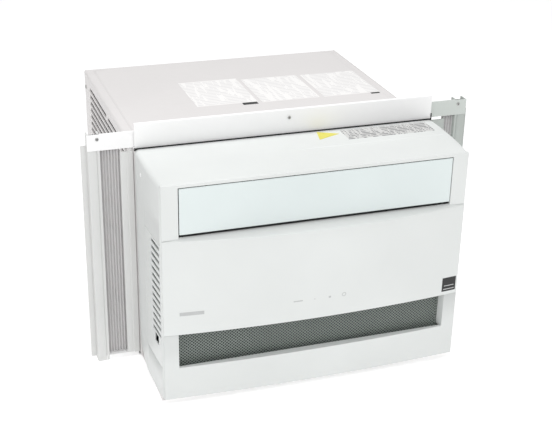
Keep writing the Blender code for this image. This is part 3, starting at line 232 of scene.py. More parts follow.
def absorb(whole, piece):
    """Moves a body's mesh into a larger one."""
    mesh = bpy.data.meshes.new("part")
    piece.to_mesh(mesh)
    piece.free()
    whole.from_mesh(mesh)
    bpy.data.meshes.remove(mesh)
    return whole


def merge(*bodies):
    """Puts several bodies in one mesh."""
    whole = bmesh.new()
    for body in bodies:
        absorb(whole, body)
    return whole


def add(name, bm, material, body="housing", replaces=(), rounding=0.0, segments=2, angle=35):
    """A finished piece. Rounding bevels every edge sharper than the angle."""
    mesh = bpy.data.meshes.new(name)
    bm.to_mesh(mesh)
    bm.free()
    mesh.materials.append(material)
    mesh.shade_smooth()
    mesh.set_sharp_from_angle(angle=math.radians(angle))
    obj = bpy.data.objects.new(name, mesh)
    bpy.context.scene.collection.objects.link(obj)
    if rounding:
        bevel = obj.modifiers.new("rounding", "BEVEL")
        bevel.width = rounding
        bevel.segments = segments
        bevel.limit_method = "ANGLE"
        bevel.angle_limit = math.radians(angle)
        bevel.harden_normals = True
    if body:
        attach(obj, body)
    if replaces:
        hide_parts(*replaces)
    return obj


# Materials


class Graph:
    """A material's nodes, with short ways to add the ones that most finishes share."""

    def __init__(self, name):
        self.material = bpy.data.materials.new(name)
        self.material.use_nodes = True
        self.tree = self.material.node_tree
        self.shader = self.tree.nodes["Principled BSDF"]
        self.place = self.node("ShaderNodeTexCoord").outputs["Object"]

    def node(self, kind, **values):
        made = self.tree.nodes.new(kind)
        for key, value in values.items():
            setattr(made, key, value)
        return made

    def link(self, source, target):
        self.tree.links.new(source, target)

    def noise(self, scale, detail=4.0, stretch=None):
        node = self.node("ShaderNodeTexNoise")
        node.inputs["Scale"].default_value = scale
        node.inputs["Detail"].default_value = detail
        source = self.place
        if stretch:
            mapping = self.node("ShaderNodeMapping")
            mapping.inputs["Scale"].default_value = stretch
            self.link(source, mapping.inputs["Vector"])
            source = mapping.outputs["Vector"]
        self.link(source, node.inputs["Vector"])
        return node.outputs["Fac"]

    def cells(self, scale, feature="F1"):
        node = self.node("ShaderNodeTexVoronoi", feature=feature)
        node.inputs["Scale"].default_value = scale
        self.link(self.place, node.inputs["Vector"])
        return node

    def between(self, value, low, high, to_low, to_high):
        node = self.node("ShaderNodeMapRange")
        for key, number in (
            ("From Min", low),
            ("From Max", high),
            ("To Min", to_low),
            ("To Max", to_high),
        ):
            node.inputs[key].default_value = number
        self.link(value, node.inputs["Value"])
        return node.outputs["Result"]

    def mix(self, factor, first, second):
        node = self.node("ShaderNodeMix", data_type="RGBA")
        self.link(factor, node.inputs["Factor"])
        colours = [s for s in node.inputs if s.type == "RGBA"]
        for socket, value in zip(colours, (first, second)):
            if isinstance(value, tuple):
                socket.default_value = (*value, 1.0)
            else:
                self.link(value, socket)
        return next(s for s in node.outputs if s.type == "RGBA")

    def bump(self, height, strength, distance):
        node = self.node("ShaderNodeBump")
        node.inputs["Strength"].default_value = strength
        node.inputs["Distance"].default_value = distance
        self.link(height, node.inputs["Height"])
        self.link(node.outputs["Normal"], self.shader.inputs["Normal"])
        return node

    def set(self, key, value):
        self.shader.inputs[key].default_value = value


def shade(colour, factor):
    return tuple(min(1.0, c * factor) for c in colour)


def moulded(name, colour, roughness, grain=1500.0, relief=0.12, coat=0.0, spread_by=0.035):
    """Moulded plastic: a fine grain, slightly uneven colour and gloss."""
    g = Graph(name)
    cloudy = g.noise(7.0, 3.0)
    colours = g.mix(
        g.between(cloudy, 0.3, 0.7, 0.0, 1.0),
        shade(colour, 1 - spread_by),
        shade(colour, 1 + spread_by / 3),
    )
    g.link(colours, g.shader.inputs["Base Color"])
    gloss = g.between(g.noise(45.0, 5.0), 0.3, 0.7, roughness - 0.05, roughness + 0.06)
    g.link(gloss, g.shader.inputs["Roughness"])
    g.bump(g.noise(grain, 2.0), relief, 0.0002)
    g.set("Coat Weight", coat)
    g.set("Coat Roughness", 0.12)
    return g.material


def powder_coat(name, colour, roughness):
    """Painted sheet: the shallow orange peel of a baked coat over faint roller marks."""
    g = Graph(name)
    peel = g.cells(420.0, "SMOOTH_F1").outputs["Distance"]
    broad = g.noise(3.5, 4.0)
    g.link(
        g.mix(g.between(broad, 0.3, 0.7, 0.0, 1.0), shade(colour, 0.965), shade(colour, 1.01)),
        g.shader.inputs["Base Color"],
    )
    gloss = g.between(g.noise(60.0, 4.0), 0.3, 0.7, roughness - 0.06, roughness + 0.07)
    g.link(gloss, g.shader.inputs["Roughness"])
    g.bump(peel, 0.16, 0.0003)
    return g.material


def metal(name, colour, roughness, marks=(1.0, 1.0, 1.0), scale=220.0, relief=0.1, tarnish=0.12):
    """Bare metal with marks drawn out along one direction and patches of tarnish."""
    g = Graph(name)
    g.set("Metallic", 1.0)
    drawn = g.noise(scale, 3.0, marks)
    patches = g.between(g.noise(18.0, 5.0), 0.42, 0.68, 0.0, 1.0)
    g.link(g.mix(patches, colour, shade(colour, 1 - tarnish * 2)), g.shader.inputs["Base Color"])
    g.link(
        g.between(drawn, 0.3, 0.7, roughness - 0.08, roughness + 0.12), g.shader.inputs["Roughness"]
    )
    g.bump(drawn, relief, 0.0002)
    return g.material


def galvanised(name, colour):
    """Zinc coat with its spangle."""
    g = Graph(name)
    g.set("Metallic", 0.85)
    spangle = g.cells(95.0)
    tone = g.node("ShaderNodeSeparateColor")
    g.link(spangle.outputs["Color"], tone.inputs["Color"])
    g.link(
        g.mix(tone.outputs[0], shade(colour, 0.86), shade(colour, 1.08)),
        g.shader.inputs["Base Color"],
    )
    g.link(g.between(tone.outputs[1], 0.0, 1.0, 0.32, 0.52), g.shader.inputs["Roughness"])
    g.bump(g.noise(300.0, 3.0), 0.08, 0.0002)
    return g.material


def circuit(name, colour):
    """A lacquered board with faint tracks."""
    g = Graph(name)
    brick = g.node("ShaderNodeTexBrick")
    brick.inputs["Scale"].default_value = 60.0
    brick.inputs["Mortar Size"].default_value = 0.03
    brick.inputs["Color1"].default_value = (*colour, 1.0)
    brick.inputs["Color2"].default_value = (*shade(colour, 0.8), 1.0)
    brick.inputs["Mortar"].default_value = (*shade(colour, 1.9), 1.0)
    g.link(g.place, brick.inputs["Vector"])
    g.link(brick.outputs["Color"], g.shader.inputs["Base Color"])
    g.set("Roughness", 0.35)
    g.bump(g.noise(400.0, 2.0), 0.1, 0.0002)
    return g.material


def printed(name, paper, ink, rows, across, words):
    """A paper or film label with level rows of grey dashes, and no characters."""
    g = Graph(name)
    split = g.node("ShaderNodeSeparateXYZ")
    g.link(g.place, split.inputs["Vector"])
    row = g.node("ShaderNodeMath", operation="MULTIPLY")
    row.inputs[1].default_value = rows
    g.link(split.outputs[across], row.inputs[0])
    part = g.node("ShaderNodeMath", operation="FRACT")
    g.link(row.outputs[0], part.inputs[0])
    line = g.node("ShaderNodeMath", operation="GREATER_THAN")
    line.inputs[1].default_value = 0.55
    g.link(part.outputs[0], line.inputs[0])
    gaps = g.node("ShaderNodeMath", operation="GREATER_THAN")
    gaps.inputs[1].default_value = 0.46
    g.link(g.noise(words, 1.0, (1.0, 0.15, 1.0)), gaps.inputs[0])
    both = g.node("ShaderNodeMath", operation="MULTIPLY")
    g.link(line.outputs[0], both.inputs[0])
    g.link(gaps.outputs[0], both.inputs[1])
    g.link(g.mix(both.outputs[0], paper, ink), g.shader.inputs["Base Color"])
    g.link(g.between(g.noise(30.0), 0.3, 0.7, 0.38, 0.5), g.shader.inputs["Roughness"])
    return g.material


COVER_WHITE = moulded("cover_white", (0.725, 0.745, 0.735), 0.36, relief=0.10)
FLAP_WHITE = moulded("flap_white", (0.70, 0.765, 0.76), 0.20, grain=900.0, relief=0.03, coat=0.4)
CABINET_WHITE = powder_coat("cabinet_white", (0.745, 0.725, 0.72), 0.42)
RAIL_WHITE = moulded("rail_white", (0.96, 0.96, 0.96), 0.34, relief=0.08)
CURTAIN_LEFT = moulded("curtain_left_white", (0.70, 0.705, 0.695), 0.36, relief=0.08)
# The right curtain's pieces take darker copies of the left curtain's white: painted shade.
CURTAIN_RIGHT_PAINTED_SHADE = moulded("curtain_right_painted_shade", (0.48, 0.515, 0.49), 0.36, relief=0.08)
BAR_RIGHT_PAINTED_SHADE = moulded("bar_right_painted_shade", (0.62, 0.66, 0.63), 0.36, relief=0.08)
CURTAIN_TONE_AND_SHADE = {"left": CURTAIN_LEFT, "right": CURTAIN_RIGHT_PAINTED_SHADE}
BAR_TONE_AND_SHADE = {"left": RAIL_WHITE, "right": BAR_RIGHT_PAINTED_SHADE}
MESH_GREY = moulded("mesh_grey", (0.25, 0.285, 0.262), 0.5, grain=2200.0)
PLEAT_GREY = moulded("pleat_grey", (0.66, 0.65, 0.65), 0.5, grain=2500.0, relief=0.2)
INNER_BLACK_AND_SHADE = moulded("inner_black", (0.035, 0.037, 0.038), 0.48, grain=1300.0)
DUCT_WHITE = moulded("duct_white", (0.62, 0.64, 0.64), 0.65, grain=600.0, relief=0.5)
FILTER_GREY = moulded("filter_frame", (0.28, 0.31, 0.33), 0.5)
RUBBER_AND_GAP_SHADE = moulded("rubber_black", (0.022, 0.022, 0.022), 0.75, grain=800.0, relief=0.4)
GALVANISED = galvanised("galvanised", (0.60, 0.62, 0.63))
ALUMINIUM = metal("fin_aluminium", (0.78, 0.79, 0.80), 0.34, (1.0, 1.0, 0.1), 500.0)
COPPER = metal("copper", (0.78, 0.42, 0.27), 0.30, scale=160.0, tarnish=0.18)
ENAMEL = powder_coat("compressor_black", (0.018, 0.018, 0.02), 0.32)
BOARD = circuit("board_green", (0.03, 0.17, 0.08))
STEEL = metal("screw_steel", (0.50, 0.50, 0.49), 0.32, scale=900.0, relief=0.2)
MARK_GREY_AND_SHADE = moulded("mark_and_shade_grey", (0.50, 0.51, 0.51), 0.5, relief=0.0, spread_by=0.01)
BADGE_BLACK = moulded("badge_black", (0.010, 0.011, 0.011), 0.35, relief=0.02)
SIGN_YELLOW = moulded("sign_yellow", (0.72, 0.66, 0.10), 0.45, relief=0.02)
STRIP_GREY = printed("strip_film", (0.60, 0.60, 0.59), (0.16, 0.16, 0.17), 160.0, "Y", 240.0)
PAPER = printed("label_paper", (0.90, 0.89, 0.88), (0.74, 0.73, 0.73), 130.0, "Y", 160.0)

SLOTS = {
    "cover_white": COVER_WHITE,
    "flap_white": FLAP_WHITE,
    "cabinet_white": CABINET_WHITE,
    "rail_white": RAIL_WHITE,
    "mesh_grey": MESH_GREY,
    "pleat_grey": PLEAT_GREY,
    "inner_black": INNER_BLACK_AND_SHADE,
    "duct_white": DUCT_WHITE,
    "filter_frame": FILTER_GREY,
    "galvanised": GALVANISED,
    "fin_aluminium": ALUMINIUM,
    "copper": COPPER,
    "compressor_black": ENAMEL,
    "board_green": BOARD,
    "rubber_black": RUBBER_AND_GAP_SHADE,
    "screw_steel": STEEL,
}

for entry in frame["record"]["subparts"]:
    node = frame["nodes"][entry["node"]]
    for material_slot in node.material_slots:
        material_slot.material = SLOTS[entry["material_slot"]]


# Front


def panel_depth(x, z):
    """The front of the bowed panel."""
    share = (z - PANEL_BOTTOM) / (PANEL_TOP - LEDGE_SLOPE - PANEL_BOTTOM)
    return -lerp(FOOT_BOW, PANEL_BOW, share) * (1 - (x / HALF_FACE) ** 2)


def fascia_depth(x):
    return -FASCIA_BOW * (1 - (x / HALF_FACE) ** 2)


def make_panel():
    """The bowed sheet with its sloping ledge and small round at the top and foot."""
    back = FASCIA_BACK
    top_round, foot_round = 0.0022, 0.0012
    ring = [("back", 0.0), ("foot", 0.0), ("foot", 45.0), ("foot", 90.0)]
    ring += [("front", i / 10) for i in range(1, 10)]
    ring += [("top", a) for a in (0.0, 30.0, 60.0, 90.0)] + [("back", 1.0)]

    def station(x):
        fall = 1 - (x / HALF_FACE) ** 2
        high = PANEL_TOP - LEDGE_SLOPE - LEDGE_DROP * fall

        def place(kind, t):
            if kind == "back":
                return at(x, back, PANEL_TOP if t else PANEL_BOTTOM)
            if kind == "front":
                z = lerp(PANEL_BOTTOM + foot_round, high - top_round, t)
                return at(x, panel_depth(x, z), z)
            turn = math.radians(t)
            if kind == "foot":
                depth = panel_depth(x, PANEL_BOTTOM)
                d = depth + foot_round * (1 - math.sin(turn))
                return at(x, d, PANEL_BOTTOM + foot_round * (1 - math.cos(turn)))
            depth = panel_depth(x, high - top_round)
            d = depth + top_round * (1 - math.cos(turn))
            return at(x, d, high - top_round * (1 - math.sin(turn)))

        return place

    stations = [station(x) for x in spread(-HALF_FACE, HALF_FACE, 48)]
    bm = sweep(ring, stations)
    add("front_panel_skin", bm, COVER_WHITE, replaces=["front_panel"])


def mesh_depth(x):
    """The mesh lies well behind the face, with a shallower bow than the fascia."""
    return MESH_RECESS - MESH_BOW * (1 - (x / HALF_FACE) ** 2)


def make_fascia():
    """The chin and the two sides of the intake, with returns that slope back to the mesh."""

    def place(u, v, w):
        return at(u, w if w > 0 else fascia_depth(u) + w, v)

    bm = grid_plate(
        spread(-HALF_FACE, HALF_FACE, 48),
        [FACE_BOTTOM, PANEL_BOTTOM - 0.0003],
        0.0,
        FASCIA_BACK,
        place,
        [(-OPENING_HALF, OPENING_HALF, OPENING_LOW, PANEL_BOTTOM)],
    )
    add(
        "lower_fascia_skin",
        bm,
        COVER_WHITE,
        replaces=["lower_fascia"],
        rounding=0.0012,
        segments=3,
    )

    def reach(x, z, t, w):
        """A place on a return: t runs from the front edge to the mesh, w is into the wall."""
        inner = min(max(x, -MESH_HALF), MESH_HALF)
        across = lerp(x, inner, t)
        depth = lerp(fascia_depth(x) + 0.0006, mesh_depth(inner) + 0.0012, t)
        return across, depth, z, w

    def foot_return(u, t, w):
        across, depth, z, w = reach(u, lerp(OPENING_LOW - 0.0002, MESH_LOW, t), t, w)
        return at(across, depth, z - w)

    shares = spread(0, 1, 4)
    foot_line = spread(-OPENING_HALF, OPENING_HALF, 40)
    returns = [grid_plate(foot_line, shares, 0.0, RETURN_SHEET, foot_return)]
    for side in (-1, 1):

        def side_return(v, t, w):
            across, depth, z, w = reach(side * (OPENING_HALF + 0.0002), v, t, w)
            return at(across + side * w, depth, z)

        low, high = OPENING_LOW - 0.0010, PANEL_BOTTOM - 0.0012
        returns.append(grid_plate([low, high], shares, 0.0, RETURN_SHEET, side_return))
    add("intake_returns", merge(*returns), COVER_WHITE)


def make_intake_mesh():
    """A thin bowed sheet of diamond holes between crossing bars, with a dark sheet of painted shade
    behind it.
    """
    half = MESH_HALF + 0.0008
    low, high = MESH_LOW - 0.0008, PANEL_BOTTOM
    hole_width, hole_height = 0.0054, 0.0050
    half_bar = 0.00055
    cells = 96
    bm = bmesh.new()
    turn = Matrix.Rotation(math.radians(45), 4, "Z")
    bmesh.ops.create_grid(bm, x_segments=cells, y_segments=cells, size=1.0, matrix=turn)
    stretch = cells / math.sqrt(8)
    bmesh.ops.scale(bm, verts=bm.verts, vec=(hole_width * stretch, hole_height * stretch, 1.0))
    middle = (low + high) / 2

    def trim(margin):
        for axis, reach in (((1, 0, 0), half), ((0, 1, 0), (high - low) / 2)):
            for side in (-1, 1):
                edge = Vector(axis) * side
                bmesh.ops.bisect_plane(
                    bm,
                    geom=bm.verts[:] + bm.edges[:] + bm.faces[:],
                    plane_co=edge * (reach + margin),
                    plane_no=edge,
                    clear_outer=True,
                )

    trim(hole_width)
    holes = bm.faces[:]
    bmesh.ops.inset_individual(bm, faces=holes, thickness=half_bar, use_even_offset=True)
    bmesh.ops.delete(bm, geom=holes, context="FACES")
    trim(0.0)
    for vert in bm.verts:
        x, z = vert.co.x, middle + vert.co.y
        vert.co = at(x, mesh_depth(x), z)
    obj = add("intake_mesh", bm, MESH_GREY, replaces=["intake_grille"])
    solid = obj.modifiers.new("thickness", "SOLIDIFY")
    solid.thickness = 0.0006
    # A dark sheet just behind the mesh: painted shade.
    back = grid_plate(
        spread(-half, half, 30),
        [low, high],
        0.0,
        0.0006,
        lambda u, v, w: at(u, mesh_depth(u) + 0.0060 + w, v),
    )
    add("intake_shade", back, INNER_BLACK_AND_SHADE)


def make_bezel():
    """The flat frame round the outlet, stepped back behind the panel and fascia."""
    depth = BEZEL[1].y - BEZEL[0].y
    intake_half = OPENING_HALF + 0.0006
    stile_foot = PANEL_TOP - 0.0018
    upper = grid_plate(
        [-HALF_FACE, HALF_FACE],
        [stile_foot, FACE_TOP],
        0.0,
        depth,
        lambda u, v, w: at(u, w, v),
        [(-HALF_OUTLET, HALF_OUTLET, stile_foot, OUTLET_TOP)],
    )
    lower = grid_plate(
        [-HALF_FACE, HALF_FACE],
        [FACE_BOTTOM, PANEL_TOP],
        BEZEL_RECESS,
        depth,
        lambda u, v, w: at(u, w, v),
        [
            (-HALF_OUTLET, HALF_OUTLET, OUTLET_BOTTOM, PANEL_TOP),
            (-intake_half, intake_half, MESH_LOW - 0.0025, PANEL_BOTTOM),
        ],
    )
    add("bezel_upper", upper, COVER_WHITE, replaces=["front_bezel"], rounding=0.0011, segments=3)
    add("bezel_lower", lower, COVER_WHITE, rounding=0.0004)


def make_flap():
    """The flap, with ribs behind it and a pin at each end."""
    half = HALF_OUTLET - SHUT_GAP
    low, high = FLAP[0].z, OUTLET_TOP - SHUT_GAP
    skin = grid_plate(
        [-half, half], [low, high], 0.0, 0.0022, lambda u, v, w: at(u, w, v)
    )
    add(
        "outlet_flap_skin", skin, FLAP_WHITE, "flap", ["outlet_flap"], rounding=0.0013, segments=3
    )
    ribs = bmesh.new()
    for x in spread(-half + 0.012, half - 0.012, 8):
        box_between(ribs, (x - 0.0006, 0.002, low + 0.014), (x + 0.0006, 0.0055, high - 0.004))
    for z in (low + 0.014, high - 0.004):
        box_between(ribs, (-half + 0.006, 0.002, z - 0.0006), (half - 0.006, 0.0055, z + 0.0006))
    pivot_depth, pivot_z = 0.0105, low + 0.005
    for side in (-1, 1):
        inner, outer = sorted((side * (half - 0.006), side * (half - 0.0004)))
        box_between(
            ribs, (inner, 0.0015, low + 0.0012), (outer, pivot_depth + 0.0018, pivot_z + 0.0036)
        )
        start = at(side * (half - 0.003), pivot_depth, pivot_z)
        disc(ribs, start, (side, 0, 0), 0.0018, 0.0105, 16)
    add("outlet_flap_ribs", ribs, FLAP_WHITE, "flap", rounding=0.0003, segments=1)


def ring_point(x_middle, z_middle, radius, angle):
    """A place on a ring that lies on the bowed panel."""
    x = x_middle + radius * math.cos(angle)
    z = z_middle + radius * math.sin(angle)
    return at(x, panel_depth(x, z) - 0.00012, z)


def touch_marks():
    """Flat marks that follow the panel: a dash, two dots and a ring."""
    z = 0.1560
    shift = -0.0040
    marks = bmesh.new()

    def patch(x0, x1, half_height):
        plate = grid_plate(
            spread(x0 + shift, x1 + shift, 3),
            [z - half_height, z + half_height],
            -0.00012,
            0.0003,
            lambda u, v, w: at(u, panel_depth(u, v) + w, v),
        )
        absorb(marks, plate)

    patch(-0.0376, -0.0232, 0.0009)
    patch(-0.0052, -0.0030, 0.0005)
    dot = at(0.020 + shift, panel_depth(0.020, z) + 0.0003, z)
    disc(marks, dot, (0, -1, 0), 0.0020, 0.0004, 20)
    ring_x, ring_z = 0.0430 + shift, z + 0.0006
    turns = 28
    ring = flat_grid(
        range(turns + 1),
        (0.0024, 0.0034),
        lambda step, radius: ring_point(ring_x, ring_z, radius, math.tau * step / turns),
    )
    absorb(marks, ring)
    bmesh.ops.remove_doubles(marks, verts=marks.verts, dist=1e-6)
    add("touch_marks", marks, MARK_GREY_AND_SHADE)


def make_badges():
    """A blank name bar, and a blank dark badge with two pale bands."""

    def on_panel(x0, x1, z0, z1, low, high):
        return grid_plate(
            spread(x0, x1, 4),
            [z0, z1],
            low,
            high,
            lambda u, v, w: at(u, panel_depth(u, v) + w, v),
        )

    bar = on_panel(-0.213, -0.177, 0.1535, 0.1590, -0.0004, 0.0004)
    add("name_bar", bar, MARK_GREY_AND_SHADE, rounding=0.0003)
    badge = on_panel(0.2090, 0.2335, 0.128, 0.152, -0.00025, 0.0005)
    add("badge", badge, BADGE_BLACK, rounding=0.0002)
    bands = merge(
        on_panel(0.2115, 0.2310, 0.1312, 0.1326, -0.00035, 0.0),
        on_panel(0.2125, 0.2300, 0.1372, 0.1384, -0.00035, 0.0),
    )
    add("badge_bands", bands, MARK_GREY_AND_SHADE)


# Cover and filter


def side_x(depth):
    """How far the cover's side stands out. Its first few millimetres close on the bezel."""
    share = min(max((depth - COVER_FRONT) / (COVER_BACK - COVER_FRONT), 0.0), 1.0)
    lead = min(max((depth - SHELL_FRONT) / (COVER_FRONT - SHELL_FRONT), 0.0), 1.0)
    return HALF_FACE + 0.0002 + 0.0013 * lead + 0.004 * share + 0.008 * share * (1 - share)


def cover_top(depth):
    share = min(max((depth - COVER_FRONT) / (COVER_BACK - COVER_FRONT), 0.0), 1.0)
    return FACE_TOP + 0.0002 + 0.0032 * share + 0.0048 * share * (1 - share)


def cover_foot(depth):
    """The lower edge of the cover's side: level with the chin, then swept up."""
    share = min(max((depth - 0.092) / (COVER_BACK - 0.092), 0.0), 1.0)
    return lerp(FACE_BOTTOM, COVER[0].z + 0.007, share**1.3)


def cover_section(depth, door_low, door_high, crease):
    """The cover's outline at a depth: (x, z) points from the left foot over to the right."""
    arc = 8
    half, top = side_x(depth), cover_top(depth)
    inner = half - COVER_CORNER
    side = [
        cover_foot(depth),
        door_low,
        lerp(door_low, door_high, 0.5),
        door_high,
        lerp(door_high, top - COVER_CORNER, 0.5),
        top - COVER_CORNER,
    ]
    turns = [math.radians(90 * i / arc) for i in range(1, arc + 1)]
    corner = [
        (inner + COVER_CORNER * math.cos(turn), top - COVER_CORNER * (1 - math.sin(turn)))
        for turn in turns
    ]
    # The right half of the top drops by a little in front of the crease.
    drop = 0.0011 * min(max((crease - depth) / 0.0016 + 0.5, 0.0), 1.0)
    flat = [
        (x, top - drop * min(max((x + 0.02) / 0.05, 0.0), 1.0)) for x in spread(-inner, inner, 40)
    ]
    left = [(-half, z) for z in side] + [(-x, z) for x, z in corner]
    right = [(x, z) for x, z in reversed(corner)] + [(half, z) for z in reversed(side)]
    return left + flat[1:-1] + right


def make_cover():
    """The wrap-round shell, open at the filter's doorway, with a shallow step across its top."""
    door_low, door_high = DOOR[0].z - 0.0008, DOOR[1].z + 0.0008
    door_front, door_back = DOOR_FRONT - 0.0008, DOOR_BACK + 0.0008
    crease = 0.074
    depths = sorted(
        set(spread(COVER_FRONT, COVER_BACK, 22))
        | {SHELL_FRONT, (SHELL_FRONT + COVER_FRONT) / 2, door_front, door_back}
        | {crease - 0.0008, crease, crease + 0.0008}
    )
    sections = {depth: cover_section(depth, door_low, door_high, crease) for depth in depths}
    count = len(sections[depths[0]])

    def place(i, depth):
        x, z = sections[depth][i]
        return at(x, depth, z)

    bm = flat_grid(range(count), depths, place)

    def in_doorway(face):
        middle = face.calc_center_median()
        level = door_low < middle.z < door_high
        return middle.x < -HALF_FACE and level and door_front < middle.y - FACE < door_back

    bmesh.ops.delete(bm, geom=[face for face in bm.faces if in_doorway(face)], context="FACES")
    roof = max(bm.faces, key=lambda face: face.calc_center_median().z)
    if roof.normal.z < 0:
        bmesh.ops.reverse_faces(bm, faces=bm.faces)
    obj = add("cover_shell", bm, COVER_WHITE, replaces=["front_cover"], angle=50)
    solid = obj.modifiers.new("thickness", "SOLIDIFY")
    solid.thickness = COVER_WALL
    solid.offset = -1.0


def make_filter_door():
    """The vented end cap. Its slots have blades that slope down to the outside."""
    low, high = DOOR[0].z, DOOR[1].z
    first, pitch, half_slot = high - 0.0070, 0.0110, 0.00275
    slot_front, slot_back = DOOR_FRONT + 0.003, DOOR_FRONT + 0.042
    slots = [
        (slot_front, slot_back, first - i * pitch - half_slot, first - i * pitch + half_slot)
        for i in range(14)
    ]
    grip_top = slots[-1][2] - 0.0030
    grip = (DOOR_FRONT + 0.014, DOOR_FRONT + 0.034, grip_top - 0.0155, grip_top)
    thickness = 0.0024

    def place(u, v, w):
        return at(-side_x(u) + w, u, v)

    us = spread(DOOR_FRONT, DOOR_BACK, 10)
    skin = grid_plate(us, [low, high], 0.0, thickness, place, slots + [grip])
    add("filter_door_skin", skin, COVER_WHITE, "filter", ["filter_door"], rounding=0.0005)
    # The grip recess's floor is darker grey than the door: painted shade.
    cup = grid_plate(
        [grip[0] - 0.001, grip[1] + 0.001],
        [grip[2] - 0.001, grip[3] + 0.001],
        0.0060,
        0.0070,
        place,
    )
    add("filter_grip_cup_painted_shade", cup, MARK_GREY_AND_SHADE, "filter")
    blades = bmesh.new()
    for front, back, bottom, top in slots:
        a, b = -side_x(front) + 0.0018, -side_x(front) + 0.0068
        inner_z, outer_z = top - 0.0006, bottom + 0.0022
        ring = [(a, outer_z), (a, outer_z + 0.0007), (b, inner_z + 0.0007), (b, inner_z)]
        absorb(blades, along_y(ring, front, back))
    add("filter_door_blades", blades, COVER_WHITE, "filter")


def make_filter():
    """The filter frame's fine net."""
    low, high = FILTER[0].z + 0.003, FILTER[1].z - 0.003
    left, right = FILTER[0].x + 0.003, FILTER[1].x - 0.003
    depth = (FILTER[0].y + FILTER[1].y) / 2 - FACE
    net = bmesh.new()
    for x in spread(left, right, 110):
        box_between(net, (x - 0.0003, depth - 0.0003, low), (x + 0.0003, depth, high))
    for z in spread(low, high, 48):
        box_between(net, (left, depth, z - 0.0003), (right, depth + 0.0003, z + 0.0003))
    add("filter_net", net, INNER_BLACK_AND_SHADE, "filter")


def on_cover(name, x0, x1, d0, d1, material, lift=0.0002):
    """A thin sheet stuck on the cover's top."""
    plate = grid_plate(
        spread(x0, x1, 8),
        spread(d0, d1, 4),
        0.0,
        lift,
        lambda u, v, w: at(u, v, cover_top(v) + w),
    )
    return add(name, plate, material)


def make_cover_labels():
    """A printed strip, and a blank three-sided sign."""
    on_cover("strip_label", 0.0800, 0.2240, 0.0920, 0.1300, STRIP_GREY)
    corners = [(0.0360, 0.1020), (0.0740, 0.1180), (0.0430, 0.1345)]
    bm = bmesh.new()
    lower = [bm.verts.new(at(x, d, cover_top(d))) for x, d in corners]
    upper = [bm.verts.new(at(x, d, cover_top(d) + 0.0003)) for x, d in corners]
    bm.faces.new(lower)
    bm.faces.new(reversed(upper))
    for i in range(3):
        j = (i + 1) % 3
        bm.faces.new([lower[j], lower[i], upper[i], upper[j]])
    bmesh.ops.recalc_face_normals(bm, faces=bm.faces)
    add("blank_sign", bm, SIGN_YELLOW)


# Cabinet


def make_cabinet():
    """The wrapper: a roof with a raised field, and side walls with rows of lipped slots."""
    sheet = 0.0012
    corner = 0.004
    front, back = CABINET_FRONT, CABINET_BACK
    margin, slope, step = 0.014, 0.003, 0.0016
    half = HALF_CABINET - corner

    def roof_height(x, depth):
        inset = min(HALF_CABINET - abs(x), back - depth)
        return CABINET_TOP - step + step * min(max((inset - margin) / slope, 0.0), 1.0)

    xs = sorted(
        set(spread(-half, half, 12))
        | {s * (HALF_CABINET - margin) for s in (-1, 1)}
        | {s * (HALF_CABINET - margin - slope) for s in (-1, 1)}
    )
    depths = sorted(set(spread(front, back, 12)) | {back - margin, back - margin - slope})
    roof = grid_plate(
        xs,
        depths,
        0.0,
        sheet,
        lambda u, v, w: at(u, v, roof_height(u, v) - w),
    )
    bodies = [roof]
    top = CABINET_TOP - step
    for side in (-1, 1):
        arc = []
        for i in range(7):
            turn = math.radians(90 * i / 6)
            arc.append((half + corner * math.sin(turn), top - corner * (1 - math.cos(turn))))
        arc = [(side * x, z) for x, z in arc]
        bodies.append(along_y(ribbon(arc, sheet), front, back))
    add("cabinet_roof", merge(*bodies), CABINET_WHITE, replaces=["cabinet"], angle=25)
    low = CABINET[0].z
    wall_top = top - corner
    rows = 22
    first = CABINET_TOP - 0.0206
    slot_front, slot_back = 0.205, back - 0.051
    for side, word in ((-1, "left"), (1, "right")):
        slots = []
        for row in range(rows):
            z = first - 0.012 * row
            ends = [(slot_front, slot_back)]
            if row == 0:
                middle = (slot_front + slot_back) / 2
                ends = [(slot_front, middle - 0.006), (middle + 0.006, slot_back)]
            slots += [(a, b, z - 0.0029, z + 0.0029) for a, b in ends]

        def place(u, v, w, side=side):
            return at(side * (HALF_CABINET - w), u, v)

        wall = grid_plate(spread(front, back, 2), [low, wall_top], 0.0, sheet, place, slots)
        lips = bmesh.new()
        for a, b, z0, z1 in slots:
            # A rolled lip along the foot of each slot, and a pressed-in hood over it.
            lip = [
                (0.0, z0 - 0.0016),
                (0.0016, z0 - 0.0009),
                (0.0018, z0),
                (0.0010, z0 + 0.0006),
                (0.0, z0),
            ]
            hood = [(0.0, z1), (-0.0045, z1 - 0.0030), (-0.0045, z1 - 0.0038), (0.0, z1 - 0.0009)]
            for ring in (lip, hood):
                placed = [(side * (HALF_CABINET + x), z) for x, z in ring]
                absorb(lips, along_y(placed, a, b))
        add(f"cabinet_wall_{word}", wall, CABINET_WHITE)
        add(f"cabinet_lips_{word}", lips, CABINET_WHITE)


def make_cabinet_labels():
    def sheet(name, x0, x1, d0, d1, material):
        plate = grid_plate(
            [x0, x1], [d0, d1], 0.0, 0.00025, lambda u, v, w: at(u, v, CABINET_TOP + w)
        )
        add(name, plate, material)

    sheet("label_left", -0.1000, 0.0040, 0.308, 0.435, PAPER)
    sheet("label_middle", 0.0105, 0.1120, 0.302, 0.426, PAPER)
    sheet("label_right", 0.1200, 0.2200, 0.301, 0.424, PAPER)
    sheet("tag_left", -0.0235, 0.0020, 0.2970, 0.3070, BADGE_BLACK)
    sheet("tag_right", 0.2035, 0.2190, 0.2940, 0.3000, BADGE_BLACK)


